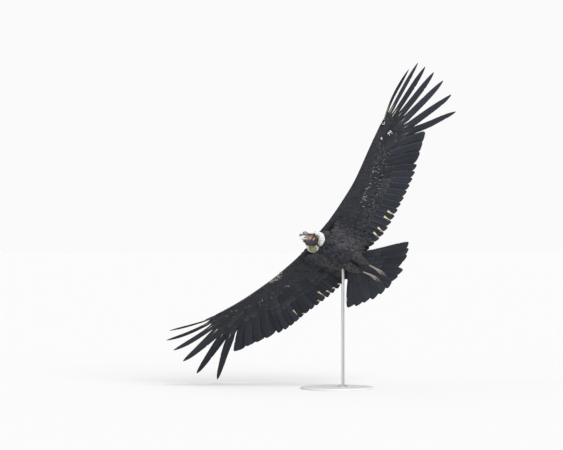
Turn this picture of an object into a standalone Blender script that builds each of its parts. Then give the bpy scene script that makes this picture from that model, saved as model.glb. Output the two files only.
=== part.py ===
"""Andean condor in a banked glide, life size, on a plain display stand.

Metres, +Z up. The origin is the middle of the underside of the stand's base. The bird is drawn
level in its own frame (+X towards the bill, +Y towards its left wing tip, +Z towards its back)
and an empty then turns it to its flight attitude.
"""

import math
import random

import bmesh
import bpy
from mathutils import Matrix, Vector

UP = Vector((0, 0, 1))
GAP = 0.00035

# Flight attitude of the whole bird, degrees
HEADING = -136.1
CLIMB = 22.3
BANK = 52.1

# Stand
BASE_RADIUS = 0.27
BASE_THICK = 0.014
ROD_RADIUS = 0.011
COLLAR_RADIUS = 0.034
COLLAR_HEIGHT = 0.012
ROD_PLACE = Vector((0.045, 0.0, 0.0))
BODY_FROM_ROD = Vector((-0.075, -0.056, 1.055))

# Torso stations: distance forward, half width, height of the back, depth of the belly
TORSO = [
    (0.208, 0.036, 0.020, -0.062),
    (0.180, 0.062, 0.044, -0.090),
    (0.130, 0.098, 0.066, -0.120),
    (0.050, 0.130, 0.082, -0.144),
    (-0.040, 0.130, 0.084, -0.144),
    (-0.120, 0.112, 0.074, -0.124),
    (-0.190, 0.088, 0.058, -0.096),
    (-0.250, 0.066, 0.040, -0.070),
    (-0.300, 0.046, 0.024, -0.050),
    (-0.330, 0.026, 0.010, -0.034),
]

# Wings: span position against the forward place of the leading and trailing edges
WINGS = {
    "left": {
        "side": 1,
        "lead": [(0.06, 0.166), (0.16, 0.172), (0.32, 0.189), (0.50, 0.215), (0.78, 0.290), (1.03, 0.346)],
        "trail": [(0.06, -0.297), (0.14, -0.308), (0.28, -0.323), (0.50, -0.284), (0.76, -0.216),
                  (0.90, -0.150), (1.10, -0.062)],
        "finger_base": [(0.321, 0.995), (0.314, 1.056), (0.270, 1.043), (0.219, 1.069), (0.161, 1.064),
                        (0.098, 1.042), (0.013, 1.066)],
        "finger_tip": [(0.308, 1.368), (0.273, 1.444), (0.202, 1.452), (0.115, 1.456), (0.015, 1.447),
                       (-0.101, 1.403), (-0.220, 1.321)],
        "finger_width": [0.028, 0.036, 0.047, 0.054, 0.056, 0.057, 0.052],
        "finger_waist": [0.70, 0.94, 1.0, 1.1, 1.2, 1.25, 1.25],
    },
    "right": {
        "side": -1,
        "lead": [(0.06, 0.150), (0.16, 0.155), (0.34, 0.173), (0.50, 0.196), (0.78, 0.261), (1.03, 0.349)],
        "trail": [(0.06, -0.316), (0.16, -0.343), (0.33, -0.339), (0.58, -0.299), (0.78, -0.278),
                  (0.94, -0.205), (1.14, -0.112)],
        "finger_base": [(0.344, 1.038), (0.302, 1.050), (0.250, 1.062), (0.185, 1.066), (0.108, 1.092),
                        (0.043, 1.080), (-0.040, 1.040)],
        "finger_tip": [(0.419, 1.312), (0.372, 1.401), (0.244, 1.454), (0.097, 1.503), (-0.071, 1.536),
                       (-0.241, 1.491), (-0.130, 1.161)],
        "finger_width": [0.022, 0.033, 0.048, 0.061, 0.058, 0.049, 0.100],
        "finger_waist": [0.75, 0.98, 1.08, 1.55, 1.45, 1.50, 1.45],
    },
}
FINGER_LIFT = [0.100, 0.090, 0.075, 0.060, 0.045, 0.030, 0.020]
WRIST_SPAN = 0.60
HAND_END_SPAN = 0.93
SECONDARIES = 15
INNER_PRIMARIES = 3
VANE_THICK = 0.0011
SHORT_FINGER = 0.72
WING_CAMBER = 0.020
INNER_TIP_SPAN = 0.105
HAND_JOIN_SPAN = 0.83
SECONDARY_WIDTH = 0.068
PRIMARY_WIDTH = 0.115
PRIMARY_STEP = 0.075
FINGER_AHEAD = 0.35
COVERT_RISE = 0.006
# Coverts on the hand and on the arm: reach as a share of the flight feather's length, and width
HAND_COVERT_REACH = 0.40
ARM_COVERT_REACH = 0.62
HAND_COVERT_WIDTH = 0.050
ARM_COVERT_WIDTH = 0.046
VANE_TILT = math.radians(4.5)

# Tail fan
TAIL_FEATHERS = 12
TAIL_APEX = Vector((-0.09, 0.0, -0.020))
TAIL_SPREAD_RIGHT = 38.5
TAIL_SPREAD_LEFT = 36.2
TAIL_ROOT_HALF = 0.060
TAIL_MIDDLE = 0.588
TAIL_EDGE = 0.535
TAIL_WIDTH = 0.082
TAIL_COVERT_WIDTH = 0.052
TAIL_COVERT_SPREAD = 34

# Legs and feet lie a little to the left of the middle, where the tail's fold leaves them room
LEG_SHIFT = 0.016
ANKLE = Vector((-0.262, 0.037, -0.107))
TOE_ROOT = Vector((-0.385, 0.031, -0.092))

# Neck line from inside the breast to inside the head, with its radius
NECK = [
    (Vector((0.120, 0.000, -0.030)), 0.050),
    (Vector((0.166, -0.008, -0.040)), 0.045),
    (Vector((0.203, -0.013, -0.051)), 0.038),
    (Vector((0.240, -0.011, -0.063)), 0.032),
    (Vector((0.278, -0.005, -0.075)), 0.028),
]

# Ruff: its place along the neck, the collar's ring and tube radius, the opening at the throat in
# degrees, and its locks
RUFF_AT = 0.60
RUFF_MAJOR = 0.045
RUFF_MINOR = 0.020
RUFF_OPEN = 34.0
RUFF_LOCKS = 12
LOCK_WIDTH = 0.033
LOCK_THICK = 0.0024
# Each row of locks: lean towards the head in radians, and length
LOCK_ROWS = ((0.75, 0.022), (-0.35, 0.026))

# Head pose: middle of the skull between the eyes, and its turn, degrees
HEAD_PLACE = Vector((0.305, -0.001, -0.082))
HEAD_TURN = -18.0
HEAD_NOD = 15.0
HEAD_ROLL = -28.0

# Skull stations: distance forward, half width, top, bottom
SKULL = [
    (-0.066, 0.010, 0.004, -0.018),
    (-0.058, 0.021, 0.018, -0.030),
    (-0.040, 0.028, 0.027, -0.035),
    (-0.012, 0.0285, 0.030, -0.033),
    (0.012, 0.0245, 0.027, -0.029),
    (0.030, 0.0190, 0.022, -0.024),
    (0.046, 0.0160, 0.018, -0.021),
    (0.058, 0.0140, 0.015, -0.0185),
]
COMB_FRONT = 0.088
COMB_BACK = -0.012
COMB_FOOT = 0.015
COMB_HEIGHT = 0.030
COMB_HALF_WIDTH = 0.0068
EYE_PLACE = Vector((0.008, 0.0215, 0.008))
EYE_RADIUS = 0.0088


def smooth_value(points, x):
    """Value at x of the smooth curve through (x, value) points in rising x order."""
    if x <= points[0][0]:
        return points[0][1]
    if x >= points[-1][0]:
        return points[-1][1]
    last = len(points) - 1
    slopes = []
    for i in range(len(points)):
        a = points[max(i - 1, 0)]
        b = points[min(i + 1, last)]
        slopes.append((b[1] - a[1]) / (b[0] - a[0]))
    for i in range(last):
        (x0, y0), (x1, y1) = points[i], points[i + 1]
        if x <= x1:
            h = x1 - x0
            t = (x - x0) / h
            return (
                y0 * (1 + 2 * t) * (1 - t) ** 2
                + y1 * t * t * (3 - 2 * t)
                + slopes[i] * h * t * (1 - t) ** 2
                - slopes[i + 1] * h * t * t * (1 - t)
            )


def mesh_object(name, verts, faces):
    """A linked object with outward faces from points and faces."""
    mesh = bpy.data.meshes.new(name)
    mesh.from_pydata([tuple(v) for v in verts], [], faces)
    bm = bmesh.new()
    bm.from_mesh(mesh)
    bmesh.ops.recalc_face_normals(bm, faces=bm.faces)
    bm.to_mesh(mesh)
    bm.free()
    obj = bpy.data.objects.new(name, mesh)
    bpy.context.scene.collection.objects.link(obj)
    return obj


def loft(name, rings):
    """A closed skin over rings of equal count, with flat end caps."""
    n = len(rings[0])
    verts = [v for ring in rings for v in ring]
    faces = []
    for i in range(len(rings) - 1):
        for j in range(n):
            a = i * n + j
            b = i * n + (j + 1) % n
            faces.append((a, b, b + n, a + n))
    faces.append(tuple(range(n)))
    faces.append(tuple(range(len(verts) - n, len(verts))))
    return mesh_object(name, verts, faces)


def vane(name, spine, widths, stations, side, tilt, thick):
    """One flat feather: widths(t) gives its reach to the leading and to the trailing side.

    Both faces are split into triangles the same way, so that a thin curved vane never crosses itself.
    """
    verts = []
    for t in stations:
        here = spine(t)
        along = (spine(t + 0.02) - spine(t - 0.02)).normalized()
        lead = (along.cross(UP) * side).normalized()
        top = lead.cross(along) * side
        edge = lead * math.cos(tilt) + top * math.sin(tilt)
        face = top * math.cos(tilt) - lead * math.sin(tilt)
        ahead, behind = widths(t)
        for reach in (ahead, -behind):
            for half in (thick / 2, -thick / 2):
                verts.append(here + edge * reach + face * half)
    faces = []
    for i in range(len(stations) - 1):
        a = 4 * i
        b = a + 4
        for p, q in ((0, 2), (1, 3), (0, 1), (2, 3)):
            faces.append((a + p, a + q, b + q))
            faces.append((a + p, b + q, b + p))
    end = len(verts) - 4
    for first in (0, end):
        faces.append((first, first + 2, first + 3))
        faces.append((first, first + 3, first + 1))
    return mesh_object(name, verts, faces)


def largest_body(obj):
    """Keeps only the largest closed surface of an object's mesh."""
    bm = bmesh.new()
    bm.from_mesh(obj.data)
    bmesh.ops.remove_doubles(bm, verts=bm.verts, dist=0.000002)
    bmesh.ops.dissolve_degenerate(bm, edges=bm.edges, dist=0.000002)
    bmesh.ops.triangulate(bm, faces=bm.faces)
    unseen = set(bm.verts)
    groups = []
    while unseen:
        group = {unseen.pop()}
        edge_of = list(group)
        while edge_of:
            v = edge_of.pop()
            for e in v.link_edges:
                w = e.other_vert(v)
                if w in unseen:
                    unseen.remove(w)
                    group.add(w)
                    edge_of.append(w)
        groups.append(group)
    groups.sort(key=span_of, reverse=True)
    for group in groups[1:]:
        bmesh.ops.delete(bm, geom=list(group), context="VERTS")
    bm.to_mesh(obj.data)
    bm.free()


def span_of(group):
    """Size of a group of vertices, as its box's diagonal."""
    low = [min(v.co[k] for v in group) for k in range(3)]
    high = [max(v.co[k] for v in group) for k in range(3)]
    return (Vector(high) - Vector(low)).length


def bake_modifiers(obj):
    """Puts the modifiers' result into the object's mesh."""
    bpy.context.view_layer.update()
    shape = obj.evaluated_get(bpy.context.evaluated_depsgraph_get())
    mesh = bpy.data.meshes.new_from_object(shape)
    obj.modifiers.clear()
    old = obj.data
    obj.data = mesh
    bpy.data.meshes.remove(old)


def fuse(core, pieces, solver="EXACT"):
    """Joins pieces to core with one union, and removes the pieces."""
    group = bpy.data.collections.new(core.name + "_pieces")
    bpy.context.scene.collection.children.link(group)
    for piece in pieces:
        group.objects.link(piece)
    union = core.modifiers.new("union", "BOOLEAN")
    union.operation = "UNION"
    union.operand_type = "COLLECTION"
    union.collection = group
    union.solver = solver
    bake_modifiers(core)
    for piece in pieces:
        bpy.data.objects.remove(piece)
    bpy.data.collections.remove(group)
    largest_body(core)


def cut(obj, cutter, keep_cutter=False):
    """Takes the cutter's shape out of obj."""
    minus = obj.modifiers.new("cut", "BOOLEAN")
    minus.operation = "DIFFERENCE"
    minus.object = cutter
    minus.solver = "EXACT"
    bake_modifiers(obj)
    if not keep_cutter:
        bpy.data.objects.remove(cutter)
    largest_body(obj)


def swollen(obj, gap=GAP):
    """A copy of obj with its surface moved out by the gap."""
    copy = obj.copy()
    copy.data = obj.data.copy()
    bpy.context.scene.collection.objects.link(copy)
    bm = bmesh.new()
    bm.from_mesh(copy.data)
    bm.normal_update()
    moves = [(v, v.normal * gap * min(v.calc_shell_factor(), 1.5)) for v in bm.verts]
    for v, move in moves:
        v.co += move
    bm.to_mesh(copy.data)
    bm.free()
    return copy


def clear_of(obj, *others):
    """Cuts obj back from its neighbours, so that they meet face to face with the gap."""
    for other in others:
        cut(obj, swollen(other))


def material(name, colour, roughness, metallic=0.0):
    """A plain finish."""
    mat = bpy.data.materials.new(name)
    mat.use_nodes = True
    shader = mat.node_tree.nodes["Principled BSDF"]
    shader.inputs["Base Color"].default_value = (*colour, 1.0)
    shader.inputs["Roughness"].default_value = roughness
    shader.inputs["Metallic"].default_value = metallic
    return mat


def oval_ring(centre, across, upward, half_width, top, bottom, count, fullness=2.0):
    """Points round an egg-shaped section: top and bottom have their own heights."""
    ring = []
    for k in range(count):
        a = 2 * math.pi * k / count
        c = math.copysign(abs(math.cos(a)) ** (2 / fullness), math.cos(a))
        s = math.copysign(abs(math.sin(a)) ** (2 / fullness), math.sin(a))
        height = top if s > 0 else -bottom
        ring.append(centre + across * half_width * c + upward * height * s)
    return ring


def station_value(stations, x, column):
    """One column of a station list at x, on a smooth curve."""
    return smooth_value(sorted((s[0], s[column]) for s in stations), x)


def make_torso():
    """Breast, belly and back in one body.

    It is triangles from the start, so that its swollen copy bends exactly where the torso does.
    """
    rings = []
    first, last = TORSO[0][0], TORSO[-1][0]
    count = 15
    for i in range(count + 1):
        u = 0.5 - 0.5 * math.cos(math.pi * i / count)
        x = first + (last - first) * u
        width = station_value(TORSO, x, 1)
        top = station_value(TORSO, x, 2)
        bottom = station_value(TORSO, x, 3)
        middle = (top + bottom) / 2
        rings.append(oval_ring(Vector((x, 0, middle)), Vector((0, 1, 0)), UP, width,
                               top - middle, bottom - middle, 18, 2.15))
    torso = loft("torso", rings)
    largest_body(torso)
    return torso


def wing_height(span):
    """Height of the wing's mid surface, which rises towards the tip."""
    out = max(span - 0.14, 0.0)
    return 0.03 + 0.055 * out + 0.075 * out * out


def wing_surface(wing, x, span):
    """Point on the wing's mid surface."""
    lead = smooth_value(wing["lead"], span)
    trail = smooth_value(wing["trail"], span)
    c = min(max((lead - x) / (lead - trail), 0.0), 1.0)
    z = wing_height(span) + WING_CAMBER * 4 * c * (1 - c)
    return Vector((x, span * wing["side"], z))


def bezier(a, b, c, t):
    return a * (1 - t) ** 2 + b * 2 * t * (1 - t) + c * t * t


def bone_place(wing, u):
    """Root of a flight feather: u from 0 at the body to 1 at the wrist and 2 at the hand's end."""
    if u <= 1:
        span = 0.13 + (WRIST_SPAN - 0.13) * u
        depth = 0.27 + 0.02 * math.sin(math.pi * u) - 0.10 * u
    else:
        span = WRIST_SPAN + (HAND_END_SPAN - WRIST_SPAN) * (u - 1)
        depth = 0.17 - 0.08 * (u - 1)
    lead = smooth_value(wing["lead"], span)
    trail = smooth_value(wing["trail"], span)
    return Vector((lead + (trail - lead) * depth, span, 0))


def flight_feathers(wing):
    """Every flight feather of a wing, from the body out, as its plan line and widths."""
    feathers = []
    for i in range(SECONDARIES):
        u = i / (SECONDARIES - 1)
        tip_span = INNER_TIP_SPAN + (HAND_JOIN_SPAN - INNER_TIP_SPAN) * u
        root = bone_place(wing, 0.97 * u)
        tip = Vector((smooth_value(wing["trail"], tip_span), tip_span, 0))
        bend = (root + tip) / 2 + Vector((0, 0.012 * u, 0))
        feathers.append({"root": root, "bend": bend, "tip": tip, "lift": 0.0, "start": 1.0,
                         "width": SECONDARY_WIDTH, "finger": False})
    for i in range(INNER_PRIMARIES):
        tip_span = HAND_JOIN_SPAN + PRIMARY_STEP * (i + 1)
        root = bone_place(wing, 1.0 + i / 9)
        tip = Vector((smooth_value(wing["trail"], tip_span), tip_span, 0))
        bend = (root + tip) / 2 + Vector((0.012, 0.012, 0))
        feathers.append({"root": root, "bend": bend, "tip": tip, "lift": 0.0, "start": 1.0,
                         "width": PRIMARY_WIDTH, "finger": False})
    for i in range(6, -1, -1):
        root = bone_place(wing, 1.0 + (9 - i) / 9)
        base = Vector((*wing["finger_base"][i], 0))
        tip = Vector((*wing["finger_tip"][i], 0))
        at = (base - root).length / ((base - root).length + (tip - base).length)
        bend = (base - root * (1 - at) ** 2 - tip * at * at) / (2 * at * (1 - at))
        feathers.append({"root": root, "bend": bend, "tip": tip, "lift": FINGER_LIFT[i], "start": at,
                         "width": wing["finger_width"][i], "waist": wing["finger_waist"][i],
                         "finger": at < SHORT_FINGER})
    return feathers


def feather_spine(wing, feather, offset=0.0, length=1.0, sink=0.0):
    """3-D line of a feather: offset moves it off the wing's mid surface once clear of its root."""
    def spine(t):
        s = t * length
        plan = bezier(feather["root"], feather["bend"], feather["tip"], s)
        point = wing_surface(wing, plan.x, plan.y)
        past = max(s - feather["start"], 0.0) / max(1.0 - feather["start"], 0.001)
        point.z += feather["lift"] * past ** 1.7
        clear = min(max(t, 0.0) / 0.5, 1.0)
        point.z += sink + (offset - sink) * clear * (2 - clear)
        return point
    return spine


def finger_widths(feather):
    """A primary: broad to where the wing opens, then cut in and drawn out to a point."""
    full = feather["width"]
    start = feather["start"]
    waist = feather["waist"]
    marks = [(0.0, 0.60), (start * 0.5, 1.10 * waist), (start, 0.92 * waist), (start + 0.12, 0.90 * waist),
             (0.78, 0.98), (0.92, 0.66), (1.0, 0.12)]

    def widths(t):
        w = full * smooth_value(marks, t)
        ahead = 0.50 if t < start else FINGER_AHEAD
        return w * ahead, w * (1 - ahead)
    return widths, [0.0, start * 0.5, start, start + 0.12, 0.72, 0.86, 0.945, 1.0]


def blade_widths(full):
    """A secondary or covert: even sided with a round end."""
    marks = [(0.0, 0.50), (0.35, 0.92), (0.7, 1.0), (0.9, 0.88), (1.0, 0.52)]

    def widths(t):
        w = full * smooth_value(marks, t)
        return w * 0.45, w * 0.55
    return widths


def wing_core(name, wing):
    """Arm and hand with the small feathers that lie smooth on them, from the shoulder outwards."""
    rings = []
    spans = [0.03, 0.10, 0.18, 0.28, 0.39, 0.50, 0.61, 0.72, 0.82, 0.91, 0.985]
    share = [(0.03, 0.50), (0.28, 0.46), (0.50, 0.36), (0.72, 0.24), (0.90, 0.12), (0.985, 0.05)]
    half = [(0.03, 0.034), (0.18, 0.028), (0.50, 0.017), (0.72, 0.010), (0.90, 0.005), (0.985, 0.0028)]
    section = [(0.0, 0.0), (0.04, 0.55), (0.16, 0.95), (0.36, 1.0), (0.66, 0.62), (1.0, 0.16)]
    for span in spans:
        lead = smooth_value(wing["lead"], span)
        trail = smooth_value(wing["trail"], span)
        reach = smooth_value(share, span) * (lead - trail)
        thick = smooth_value(half, span)
        ring = []
        for c, h in section:
            p = wing_surface(wing, lead - c * reach, span)
            ring.append(p + UP * h * thick)
        for c, h in reversed(section[1:]):
            p = wing_surface(wing, lead - c * reach, span)
            ring.append(p - UP * h * thick * 0.85)
        rings.append(ring)
    return loft(name, rings)


def make_wing(name):
    """One whole wing: core, flight feathers and two rows of coverts on each face."""
    wing = WINGS[name]
    side = wing["side"]
    rng = random.Random(11 if side > 0 else 12)
    core = wing_core("wing_" + name, wing)
    pieces = []
    feathers = flight_feathers(wing)
    for k, feather in enumerate(feathers):
        spine = feather_spine(wing, feather)
        if feather["finger"]:
            widths, stations = finger_widths(feather)
        else:
            widths = blade_widths(feather["width"])
            stations = [0.0, 0.35, 0.7, 0.9, 1.0]
        pieces.append(vane(f"flight_{k}", spine, widths, stations, side, VANE_TILT, VANE_THICK))
    for face in (-1, 1):
        for k, feather in enumerate(feathers):
            hand = k >= SECONDARIES
            if (k % 2 and not hand) or (face > 0 and hand):
                continue
            length = (HAND_COVERT_REACH if hand else ARM_COVERT_REACH) + rng.uniform(-0.012, 0.012)
            width = HAND_COVERT_WIDTH if hand else ARM_COVERT_WIDTH
            if feather["finger"]:
                length = min(length, feather["start"])
                width = min(width, feather["width"] * feather["waist"])
            spine = feather_spine(wing, feather, face * COVERT_RISE, length, face * 0.001)
            pieces.append(vane(f"covert_{face}_{k}", spine, blade_widths(width), [0.0, 0.6, 1.0],
                               side, VANE_TILT, VANE_THICK))
    fuse(core, pieces)
    return core


def make_tail():
    """Twelve fanned feathers from one root, with coverts above and below."""
    rng = random.Random(21)
    rings = []
    for x, w, h in ((-0.20, 0.050, 0.022), (-0.27, 0.062, 0.020), (-0.33, 0.078, 0.013),
                    (-0.38, 0.085, 0.005)):
        rings.append(oval_ring(Vector((x, 0, TAIL_APEX.z)), Vector((0, 1, 0)), UP, w, h, -h, 12, 2.4))
    core = loft("tail", rings)
    pieces = []
    middle = (TAIL_FEATHERS - 1) / 2
    for i in range(TAIL_FEATHERS):
        t = (i - middle) / middle
        spread = TAIL_SPREAD_LEFT if t > 0 else TAIL_SPREAD_RIGHT
        angle = math.radians(spread * t)
        reach = TAIL_MIDDLE + (TAIL_EDGE - TAIL_MIDDLE) * abs(t) ** 1.5 + rng.uniform(-0.006, 0.006)
        tip = TAIL_APEX + Vector((-math.cos(angle), math.sin(angle), 0)) * reach
        root = Vector((-0.245, TAIL_ROOT_HALF * t, TAIL_APEX.z))
        drop = -0.0022 * abs(i - middle)
        side = 1 if t > 0 else -1

        def spine(u, root=root, tip=tip, drop=drop):
            p = root.lerp(tip, u)
            p.z += drop * min(max(u, 0) * 2.5, 1.0) + 0.018 * u * (1 - u)
            return p
        marks = [(0.0, 0.25), (0.35, 0.80), (0.7, 1.0), (0.9, 0.94), (1.0, 0.50)]

        def widths(u, marks=marks):
            w = TAIL_WIDTH * smooth_value(marks, u)
            return w * 0.45, w * 0.55
        pieces.append(vane(f"tail_{i}", spine, widths, [0.0, 0.35, 0.7, 0.9, 1.0], side,
                           math.radians(3.0), VANE_THICK))
    for face in (-1, 1):
        for i in range(6):
            t = (i - 2.5) / 2.5
            angle = math.radians(TAIL_COVERT_SPREAD * t)
            reach = (0.36 if face < 0 else 0.31) + 0.02 * math.cos(angle * 2)
            tip = TAIL_APEX + Vector((-math.cos(angle), math.sin(angle), 0)) * reach
            root = Vector((-0.235, 0.036 * t, TAIL_APEX.z + face * 0.006))
            height = face * (0.020 - 0.002 * abs(i - 2.5))
            side = 1 if t > 0 else -1

            def spine(u, root=root, tip=tip, height=height):
                p = root.lerp(tip, u)
                p.z = root.z + (TAIL_APEX.z + height - root.z) * min(max(u, 0) * 2.0, 1.0)
                return p
            pieces.append(vane(f"tail_covert_{face}_{i}", spine, blade_widths(TAIL_COVERT_WIDTH),
                               [0.0, 0.6, 1.0], side, VANE_TILT, VANE_THICK))
    fuse(core, pieces)
    return core


def neck_point(u):
    """Centre of the neck at u from 0 at the breast to 1 at the head."""
    last = len(NECK) - 1
    return Vector([smooth_value([(i / last, NECK[i][0][k]) for i in range(last + 1)], u) for k in range(3)])


def neck_radius(u):
    last = len(NECK) - 1
    return smooth_value([(i / last, NECK[i][1]) for i in range(last + 1)], u)


def neck_frame(u):
    """Directions along, to the left of and above the neck."""
    along = (neck_point(min(u + 0.03, 1)) - neck_point(max(u - 0.03, 0))).normalized()
    left = UP.cross(along).normalized()
    return along, left, along.cross(left)


def make_neck():
    """Bare neck with rounded skin folds round it."""
    rings = []
    count = 22
    for i in range(count + 1):
        u = i / count
        _, left, above = neck_frame(u)
        fold = 0.0016 * math.cos(2 * math.pi * 5.5 * u) if u > 0.3 else 0.0
        r = neck_radius(u) + fold
        rings.append(oval_ring(neck_point(u), left, above, r, r * 1.02, -r * 1.06, 16))
    return loft("neck", rings)


def ruff_frame(angle):
    """Place and outward direction on the collar: angle 0 is the throat, 90 the left side."""
    along, left, above = neck_frame(RUFF_AT)
    out = left * math.sin(angle) - above * math.cos(angle)
    return neck_point(RUFF_AT) + out * RUFF_MAJOR, out, along


def make_ruff():
    """Collar of soft locks, open at the throat."""
    rng = random.Random(31)
    rings = []
    steps = 12
    start = math.radians(RUFF_OPEN / 2)
    for i in range(steps + 1):
        angle = start + (2 * math.pi - 2 * start) * i / steps
        place, out, along = ruff_frame(angle)
        taper = min(1.0, 0.45 + 3.0 * min(i, steps - i) / steps)
        r = RUFF_MINOR * taper
        rings.append([place + out * r * math.cos(a) + along * r * 1.1 * math.sin(a)
                      for a in [2 * math.pi * k / 6 for k in range(6)]])
    core = loft("ruff", rings)
    pieces = []
    for row, (lean, reach) in enumerate(LOCK_ROWS):
        for i in range(RUFF_LOCKS):
            u = (i + 0.5 * (row % 2) + 0.25) / RUFF_LOCKS
            angle = start + (2 * math.pi - 2 * start) * u
            place, out, along = ruff_frame(angle)
            face = (out * math.cos(lean) + along * math.sin(lean)).normalized()
            sweep = (-along * 0.85 + out * 0.35).normalized()
            root = place + face * RUFF_MINOR * 0.55
            long = reach * rng.uniform(0.9, 1.1)

            def spine(t, root=root, face=face, sweep=sweep, long=long):
                return root + face * (0.016 * math.sin(min(t, 1.0) * 1.6)) + sweep * long * t

            def widths(t):
                w = LOCK_WIDTH * smooth_value([(0, 0.7), (0.45, 1.0), (0.8, 0.7), (1.0, 0.15)], t)
                return w / 2, w / 2
            pieces.append(lock(f"lock_{row}_{i}", spine, widths, [0.0, 0.4, 0.8, 1.0], face,
                               LOCK_THICK))
    fuse(core, pieces)
    return core


def lock(name, spine, widths, stations, face, thick):
    """A flat tapered lock whose broad side faces outward."""
    verts = []
    for t in stations:
        here = spine(t)
        along = (spine(t + 0.02) - spine(t - 0.02)).normalized()
        edge = along.cross(face).normalized()
        top = edge.cross(along)
        ahead, behind = widths(t)
        body = thick * (1 - 0.7 * t)
        for reach in (ahead, -behind):
            for half in (body / 2, -body / 2):
                verts.append(here + edge * reach + top * half)
    faces = []
    for i in range(len(stations) - 1):
        a = 4 * i
        b = a + 4
        for p, q in ((0, 2), (1, 3), (0, 1), (2, 3)):
            faces.append((a + p, a + q, b + q))
            faces.append((a + p, b + q, b + p))
    end = len(verts) - 4
    for first in (0, end):
        faces.append((first, first + 2, first + 3))
        faces.append((first, first + 3, first + 1))
    return mesh_object(name, verts, faces)


def head_matrix():
    """Place and turn of the head in the bird's frame."""
    turn = Matrix.Rotation(math.radians(HEAD_TURN), 4, "Z")
    nod = Matrix.Rotation(math.radians(HEAD_NOD), 4, "Y")
    roll = Matrix.Rotation(math.radians(HEAD_ROLL), 4, "X")
    return Matrix.Translation(HEAD_PLACE) @ turn @ nod @ roll


def make_skull():
    rings = []
    first, last = SKULL[0][0], SKULL[-1][0]
    count = 11
    for i in range(count + 1):
        x = first + (last - first) * (0.5 - 0.5 * math.cos(math.pi * i / count)) if i < count else last
        w = station_value(SKULL, x, 1)
        top = station_value(SKULL, x, 2)
        bottom = station_value(SKULL, x, 3)
        middle = (top + bottom) / 2
        rings.append(oval_ring(Vector((x, 0, middle)), Vector((0, 1, 0)), UP, w, top - middle,
                               bottom - middle, 14, 2.2))
    return loft("head", rings)


def ball(name, place, radii, segments=12, rings=8):
    """An ellipsoid."""
    bm = bmesh.new()
    bmesh.ops.create_uvsphere(bm, u_segments=segments, v_segments=rings, radius=1.0)
    for v in bm.verts:
        v.co = Vector((v.co.x * radii[0], v.co.y * radii[1], v.co.z * radii[2])) + place
    mesh = bpy.data.meshes.new(name)
    bm.to_mesh(mesh)
    bm.free()
    obj = bpy.data.objects.new(name, mesh)
    bpy.context.scene.collection.objects.link(obj)
    return obj


def make_bill(name, upper):
    """Half of the bill: the upper one hooks down over the lower one."""
    rings = []
    for i in range(9):
        u = i / 8
        if upper:
            x = 0.045 + 0.058 * math.sin(u * 1.35)
            drop = -0.028 * max(u - 0.35, 0) ** 1.8 / 0.65 ** 1.8
            top = 0.0165 + drop
            bottom = -0.0055 - 0.016 * max(u - 0.45, 0) ** 1.6 / 0.55 ** 1.6
            if u > 0.72:
                bottom = min(bottom, top - 0.003)
            w = 0.0135 * (1 - u ** 2.6) + 0.0012
        else:
            x = 0.045 + 0.042 * u
            top = -0.0065
            bottom = -0.0185 + 0.007 * u * u
            w = 0.0120 * (1 - u ** 2.8) + 0.0012
        middle = (top + bottom) / 2
        rings.append(oval_ring(Vector((x, 0, middle)), Vector((0, 1, 0)), UP, w, top - middle,
                               bottom - middle, 10, 2.3))
    return loft(name, rings)


def make_comb():
    """Fleshy comb from the bill's root to the crown: one fin with rounded bulbs along its top."""
    rings = []
    for i in range(8):
        u = i / 7
        x = COMB_FRONT + (COMB_BACK - COMB_FRONT) * u
        rise = COMB_HEIGHT * math.sin(math.pi * (0.10 + 0.82 * u)) ** 0.6
        w = COMB_HALF_WIDTH * math.sin(math.pi * (0.14 + 0.74 * u)) ** 0.5
        rings.append(oval_ring(Vector((x, 0, COMB_FOOT)), Vector((0, 1, 0)), UP, w, rise, -0.006, 8, 2.0))
    comb = loft("comb", rings)
    bulbs = []
    for k in range(4):
        u = 0.12 + 0.24 * k
        x = COMB_FRONT + (COMB_BACK - COMB_FRONT) * u
        rise = COMB_HEIGHT * math.sin(math.pi * (0.10 + 0.82 * u)) ** 0.6
        r = 0.0098 if k % 2 else 0.0084
        bulbs.append(ball(f"bulb_{k}", Vector((x, 0.0008 * (-1) ** k, COMB_FOOT + rise - 0.004)),
                          (r * 1.25, COMB_HALF_WIDTH * 1.15, r), 8, 5))
    fuse(comb, bulbs)
    return comb


def add_head_folds(head):
    """Lids, throat, dewlap, crown, nape and cheek folds, all rooted in the skull."""
    folds = [
        ball("dewlap", Vector((-0.004, 0, -0.034)), (0.034, 0.0065, 0.013), 8, 5),
        ball("throat", Vector((0.014, 0, -0.040)), (0.036, 0.0175, 0.022), 10, 6),
        ball("crown_fold", Vector((-0.030, 0, 0.026)), (0.026, 0.007, 0.0065), 8, 5),
    ]
    for s in (1, -1):
        folds.append(ring_fold(f"lid_{s}", Vector((EYE_PLACE.x, EYE_PLACE.y * s, EYE_PLACE.z)), s))
        nape = Vector((-0.046, 0.019 * s, 0.016))
        cheek = Vector((-0.040, 0.024 * s, -0.014))
        folds.append(ball(f"nape_fold_{s}", nape, (0.006, 0.0055, 0.013), 6, 5))
        folds.append(ball(f"cheek_fold_{s}", cheek, (0.010, 0.0065, 0.016), 6, 5))
    fuse(head, folds)


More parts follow.
